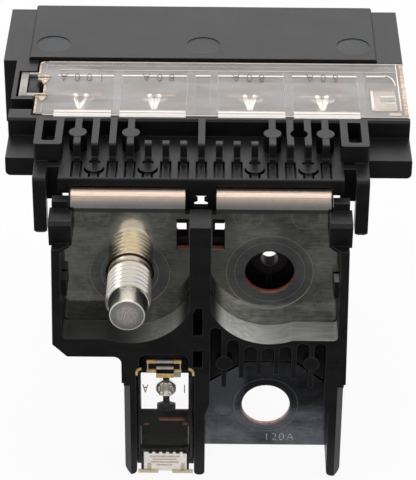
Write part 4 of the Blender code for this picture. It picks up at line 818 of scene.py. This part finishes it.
# The small holder: clear cover with painted shade along its sides, latch, hook, sill and feet, and painted
# reflections on the pad. Its rows' places back start at the cover's face, those of the arch and the steps at
# the drawing's zero point
holder = {
    "front": 0.6, "cover": ((-11.1, -1.3, 0.0, 1.1, -60.9, -38.5, 0.1),),
    "shade": ((-11.36, -10.65, 1.12, 4.8, -60.1, -38.6, 0.04), (-2.04, -1.04, 1.12, 4.8, -60.1, -38.6, 0.04),
              (-7.75, -4.65, -0.45, -0.02, -38.5, -37.62, 0.03),
              (-10.65, -1.95, -0.2, -0.02, -56.45, -55.0, 0.05),
              (-10.66, -10.15, -0.2, -0.02, -60.6, -56.5, 0.03),
              (-2.35, -1.9, -0.2, -0.02, -60.6, -56.5, 0.03)),
    "tooth": ((0.0, 0.7, -0.28, -0.2, -56.75, -56.0, 0.05),), "toothStart": -9.3, "toothPitch": 1.25,
    "teeth": 6, "arch": ((-10.75, -2.05, 5.45, 5.8, -42.25, -35.0, 0.05),),
    "amber": ((-9.5, -7.75, -0.1, 0.3, -36.6, -35.95, 0.08), (-9.5, -7.75, -0.1, 0.3, -38.5, -37.98, 0.08),
              (-4.65, -3.25, -0.1, 0.3, -36.6, -35.95, 0.08), (-4.65, -3.25, -0.1, 0.3, -38.5, -37.98, 0.08),
              (-7.8, -4.6, -0.5, -0.02, -39.48, -38.52, 0.12)),
    "clips": ((1, -11.45), (-1, -0.95)), "clipRadii": (0.6, 1.05), "clipHeight": -38.15,
    "clipBack": (-0.2, -0.02), "stemWidth": 0.4, "stemLow": -38.75, "stemRounding": 0.04,
    "hook": ((-7.74, -4.66, -0.1, 0.3, -36.55, -36.0, 0.08), (-7.75, -4.65, -0.5, -0.02, -37.6, -37.15, 0.1),
             (-10.62, -10.55, -0.05, -0.01, -54.6, -50.6, 0.0), (-2.08, -2.01, -0.05, -0.01, -54.6, -50.6, 0.0),
             (-9.38, -9.18, 0.0, 0.3, -38.2, -36.6, 0.03), (-3.57, -3.37, 0.0, 0.3, -38.2, -36.6, 0.03),
             (-4.65, -3.4, 1.3, 1.6, -40.6, -39.0, 0.05)),
    "steps": ((-7.5, -2.7, 5.88, 5.98, -53.4, -52.75, 0.03), (-10.4, -9.4, 5.88, 5.98, -54.45, -53.95, 0.03),
              (-3.1, -2.1, 5.88, 5.98, -54.4, -53.9, 0.03)),
    "sill": ((-10.2, -2.4, -0.1, -0.02, -60.85, -56.5, 0.02),),
    "bars": ((-9.1, -3.6, -0.2, -0.1, -57.65, -57.35, 0.05), (-8.6, -4.2, -0.2, -0.1, -58.3, -58.0, 0.05),
             (-8.9, -3.8, -0.2, -0.1, -58.95, -58.65, 0.05), (-7.9, -5.0, -0.2, -0.1, -59.6, -59.3, 0.05)),
    "feet": ((-11.2, -7.5, -0.3, -0.16, -61.25, -60.35, 0.15), (-9.5, -8.8, -0.3, -0.16, -60.68, -59.0, 0.12),
             (-5.0, -1.2, -0.3, -0.16, -61.25, -60.35, 0.15), (-3.4, -2.7, -0.3, -0.16, -60.68, -59.0, 0.12)),
}
holderBead = {"body": (-7.95, -4.35, -47.0, -43.75, 1.0), "bodyBack": (4.55, 5.7), "bodyRounding": 0.35,
              "crown": (-6.75, -5.55, -46.1, -43.6, 0.4), "crownBack": (4.2, 4.6), "crownRounding": 0.15,
              "drops": ((-7.3, -45.0), (-5.1, -44.7), (-7.0, -46.2), (-5.3, -46.1)), "drop": (0.5, 0.3, 0.5)}
upright = Matrix.Rotation(math.pi / 2, 4, "X")
holderRating = {"spread": 2.95, "narrow": 0.6, "size": 2.6, "depth": 0.05, "thin": 0.004,
                "turn": upright @ Matrix.Rotation(math.pi, 4, "Z"), "place": (-6.3, 0.56, -42.05)}
padRating = {"spread": 1.2, "narrow": 0.95, "size": 2.4, "depth": 0.04, "thin": -0.016, "turn": upright,
             "place": (14.6, 5.95, -57.0)}


def makeHolder():
    look = holder
    backward = (0.0, look["front"], 0.0)
    addRowPiece("holderCover", look["cover"], "clearHolder", backward, ["lower_clear_cover"])
    # painted shade: dark strips and teeth along the holder's sides and front
    sides = bmesh.new()
    addRows(sides, look["shade"], backward)
    for step in range(look["teeth"]):
        addRows(sides, look["tooth"], (look["toothStart"] + step * look["toothPitch"], look["front"], 0.0))
    addPiece("holderShade", sides, "paintedShadow")
    addRowPiece("archBack", look["arch"], "nylon")

    amber = bmesh.new()
    addRows(amber, look["amber"], backward)
    near, far = look["clipRadii"]
    height = look["clipHeight"]
    for side, spot in look["clips"]:
        addArc(amber, (spot + side * far, height), (near, far), look["clipBack"], 90, 90 * side)
        addBlock(amber, sorted((spot, spot + side * look["stemWidth"])), look["clipBack"],
                 (look["stemLow"], height), look["stemRounding"])
    addPiece("holderAmber", amber, "amber")
    # the hook rows hold the hook and two thin upright light strips, painted reflection lines beside the cover
    addRowPiece("holderHookAndReflections", look["hook"], "cream", backward)
    # painted reflection: thin copper strips on the pad, standing for mirrored copper edges
    addRowPiece("copperReflectionStrips", look["steps"], "copper")
    addRowPiece("holderSill", look["sill"], "pearl", backward)
    addRowPiece("sillBars", look["bars"], "honey", backward)
    addRowPiece("sillFeet", look["feet"], "honey", backward)

    tin = bmesh.new()
    addOutline(tin, corners(*holderBead["body"]), "Y", *holderBead["bodyBack"], holderBead["bodyRounding"])
    addOutline(tin, corners(*holderBead["crown"]), "Y", *holderBead["crownBack"], holderBead["crownRounding"])
    for across, up in holderBead["drops"]:
        addDrop(tin, (across, holderBead["bodyBack"][0], up), holderBead["drop"])
    addPiece("tinBead120", tin, "tin", ["tin_bead_120a"], 50.0)
    addWords("rating120Cover", "120A", holderRating, "ink")
    addWords("rating120Pad", "120A", padRating, "chalk")
    print("holder made")


makeHolder()


# Small fillings where the mouldings close on the bus bar, alike on both sides; the last two blocks are dark
# nylon set behind the plate to darken the slots, standing in for shade there
seals = {
    "radii": (11.2, 11.65), "back": (5.72, 5.98), "starts": {-1: -111.8, 1: -68.2}, "sweep": 84.0, "steps": 32,
    "blocks": ((16.36, 24.0, 5.72, 5.98, -31.45, -31.0), (22.62, 22.88, 6.3, 9.6, -8.3, -5.2),
               (2.6, 2.76, 6.9, 9.6, -9.4, -6.0), (2.6, 2.76, 7.9, 11.5, -6.7, -5.15),
               (2.1, 4.15, 7.75, 8.3, -11.5, -9.7), (1.95, 2.5, 7.75, 8.3, -13.2, -11.5)),
}


def makeSeals():
    shape = bmesh.new()
    for side, start in seals["starts"].items():
        addArc(shape, (side * batterySpot[0], batterySpot[1]), seals["radii"], seals["back"], start,
               -side * seals["sweep"], seals["steps"])
        for inner, outer, front, back, low, high in seals["blocks"]:
            addBlock(shape, sorted((side * inner, side * outer)), (front, back), (low, high))
    addPiece("sealsAndSlotShade", shape, "nylon")
    print("seals made")


makeSeals()


# Stage, light and camera
def addSheet(name, middle, width, depth, finish):  # a level sheet for the stage, measured in metres
    shape = bmesh.new()
    bmesh.ops.create_grid(shape, x_segments=1, y_segments=1, size=0.5,
                          matrix=Matrix.Translation(middle) @ Matrix.Diagonal((width, depth, 1.0, 1.0)))
    mesh = bpy.data.meshes.new(name)
    shape.to_mesh(mesh)
    shape.free()
    mesh.materials.append(finish.material)
    piece = bpy.data.objects.new(name, mesh)
    bpy.context.scene.collection.objects.link(piece)
    return piece


def makeStage():
    stage = {"height": -31.4, "width": 1.8, "lit": 0.93, "matte": rgb(0.86, 0.86, 0.86),
             "white": rgb(1.0, 1.0, 1.0)}
    finish = Finish("paleFloor")
    matte = finish.node("BsdfDiffuse", None, {"Color": stage["matte"]})
    white = finish.node("Emission", None, {"Color": stage["white"], "Strength": 1.0})
    finish.close(finish.node("MixShader", None, {0: finish.shownDirect() * stage["lit"], 1: matte, 2: white}))
    floor = addSheet("paleFloor", (0, 0, stage["height"] * mm), stage["width"], stage["width"], finish)


def makeDarkCard():  # lies ahead of the block for its metal to mirror; only reflections show it
    card = {"left": -150.0, "right": 150.0, "front": -330.0, "back": -8.0, "height": -61.45, "patch": 60.0,
            "dark": rgb(0.13, 0.13, 0.125), "light": rgb(0.24, 0.24, 0.23), "roughness": 0.9}
    middle = at((card["left"] + card["right"]) / 2, (card["front"] + card["back"]) / 2, card["height"])
    finish = Finish("darkCard")
    finish.surface(Base_Color=finish.mix(finish.noise(card["patch"]), card["dark"], card["light"]),
                   Roughness=card["roughness"])
    cardPiece = addSheet("darkCard", middle, (card["right"] - card["left"]) * mm,
                         (card["back"] - card["front"]) * mm, finish)
    for sight in ("visible_camera", "visible_diffuse", "visible_transmission", "visible_shadow"):
        setattr(cardPiece, sight, False)


def makeWorld():
    finish = Finish("softRoom", world=True)
    room = finish.node("Background", None, {"Color": rgb(0.97, 0.98, 1.0), "Strength": 0.42})
    white = finish.node("Background", None, {"Color": rgb(1.0, 1.0, 1.0), "Strength": 1.0})
    finish.close(finish.node("MixShader", None, {0: finish.shownDirect(), 1: room, 2: white}))
    bpy.context.scene.world = finish.material


lamps = [  # name, place and target in metres, width, height, brightness of its face, colour
    ("topSoftbox", (0.0, 0.05, 0.5), (0, 0, 0), 0.5, 0.36, 2.4, (1.0, 0.985, 0.96)),
    ("rearSoftbox", (0.0, 0.42, 0.32), (0, 0.01, 0), 0.6, 0.26, 1.9, (1.0, 0.99, 0.97)),
    ("frontFill", (-0.3, -0.4, 0.3), (0, 0, 0), 0.22, 0.22, 1.6, (1.0, 0.99, 0.98)),
]


def makeLamps():
    for name, place, target, width, height, bright, colour in lamps:
        data = bpy.data.lights.new(name, "AREA")
        data.shape = "RECTANGLE"
        data.size = width
        data.size_y = height
        data.energy = bright * math.pi * width * height
        data.color = colour
        lamp = bpy.data.objects.new(name, data)
        lamp.location = place
        lamp.rotation_mode = "QUATERNION"
        lamp.rotation_quaternion = (Vector(target) - Vector(place)).to_track_quat("-Z", "Y")
        bpy.context.scene.collection.objects.link(lamp)


def makeCamera():
    view = {"place": (2.43, -323.48, 199.29), "lens": 194.7, "elevation": 32.9, "azimuth": 0.2, "roll": 0.4}
    data = bpy.data.cameras.new("photoCamera")
    data.sensor_width = 36.0
    data.sensor_fit = "HORIZONTAL"
    data.lens = view["lens"]
    camera = bpy.data.objects.new("photoCamera", data)
    turn = (Matrix.Rotation(math.radians(view["azimuth"]), 4, "Z")
            @ Matrix.Rotation(math.radians(90.0 - view["elevation"]), 4, "X")
            @ Matrix.Rotation(math.radians(view["roll"]), 4, "Z"))
    camera.matrix_world = Matrix.Translation(at(*view["place"])) @ turn
    bpy.context.scene.collection.objects.link(camera)
    bpy.context.scene.camera = camera


makeStage()
makeDarkCard()
makeWorld()
makeLamps()
makeCamera()
bpy.context.scene.view_settings.view_transform = "Standard"
print("stage, lamps and camera made")
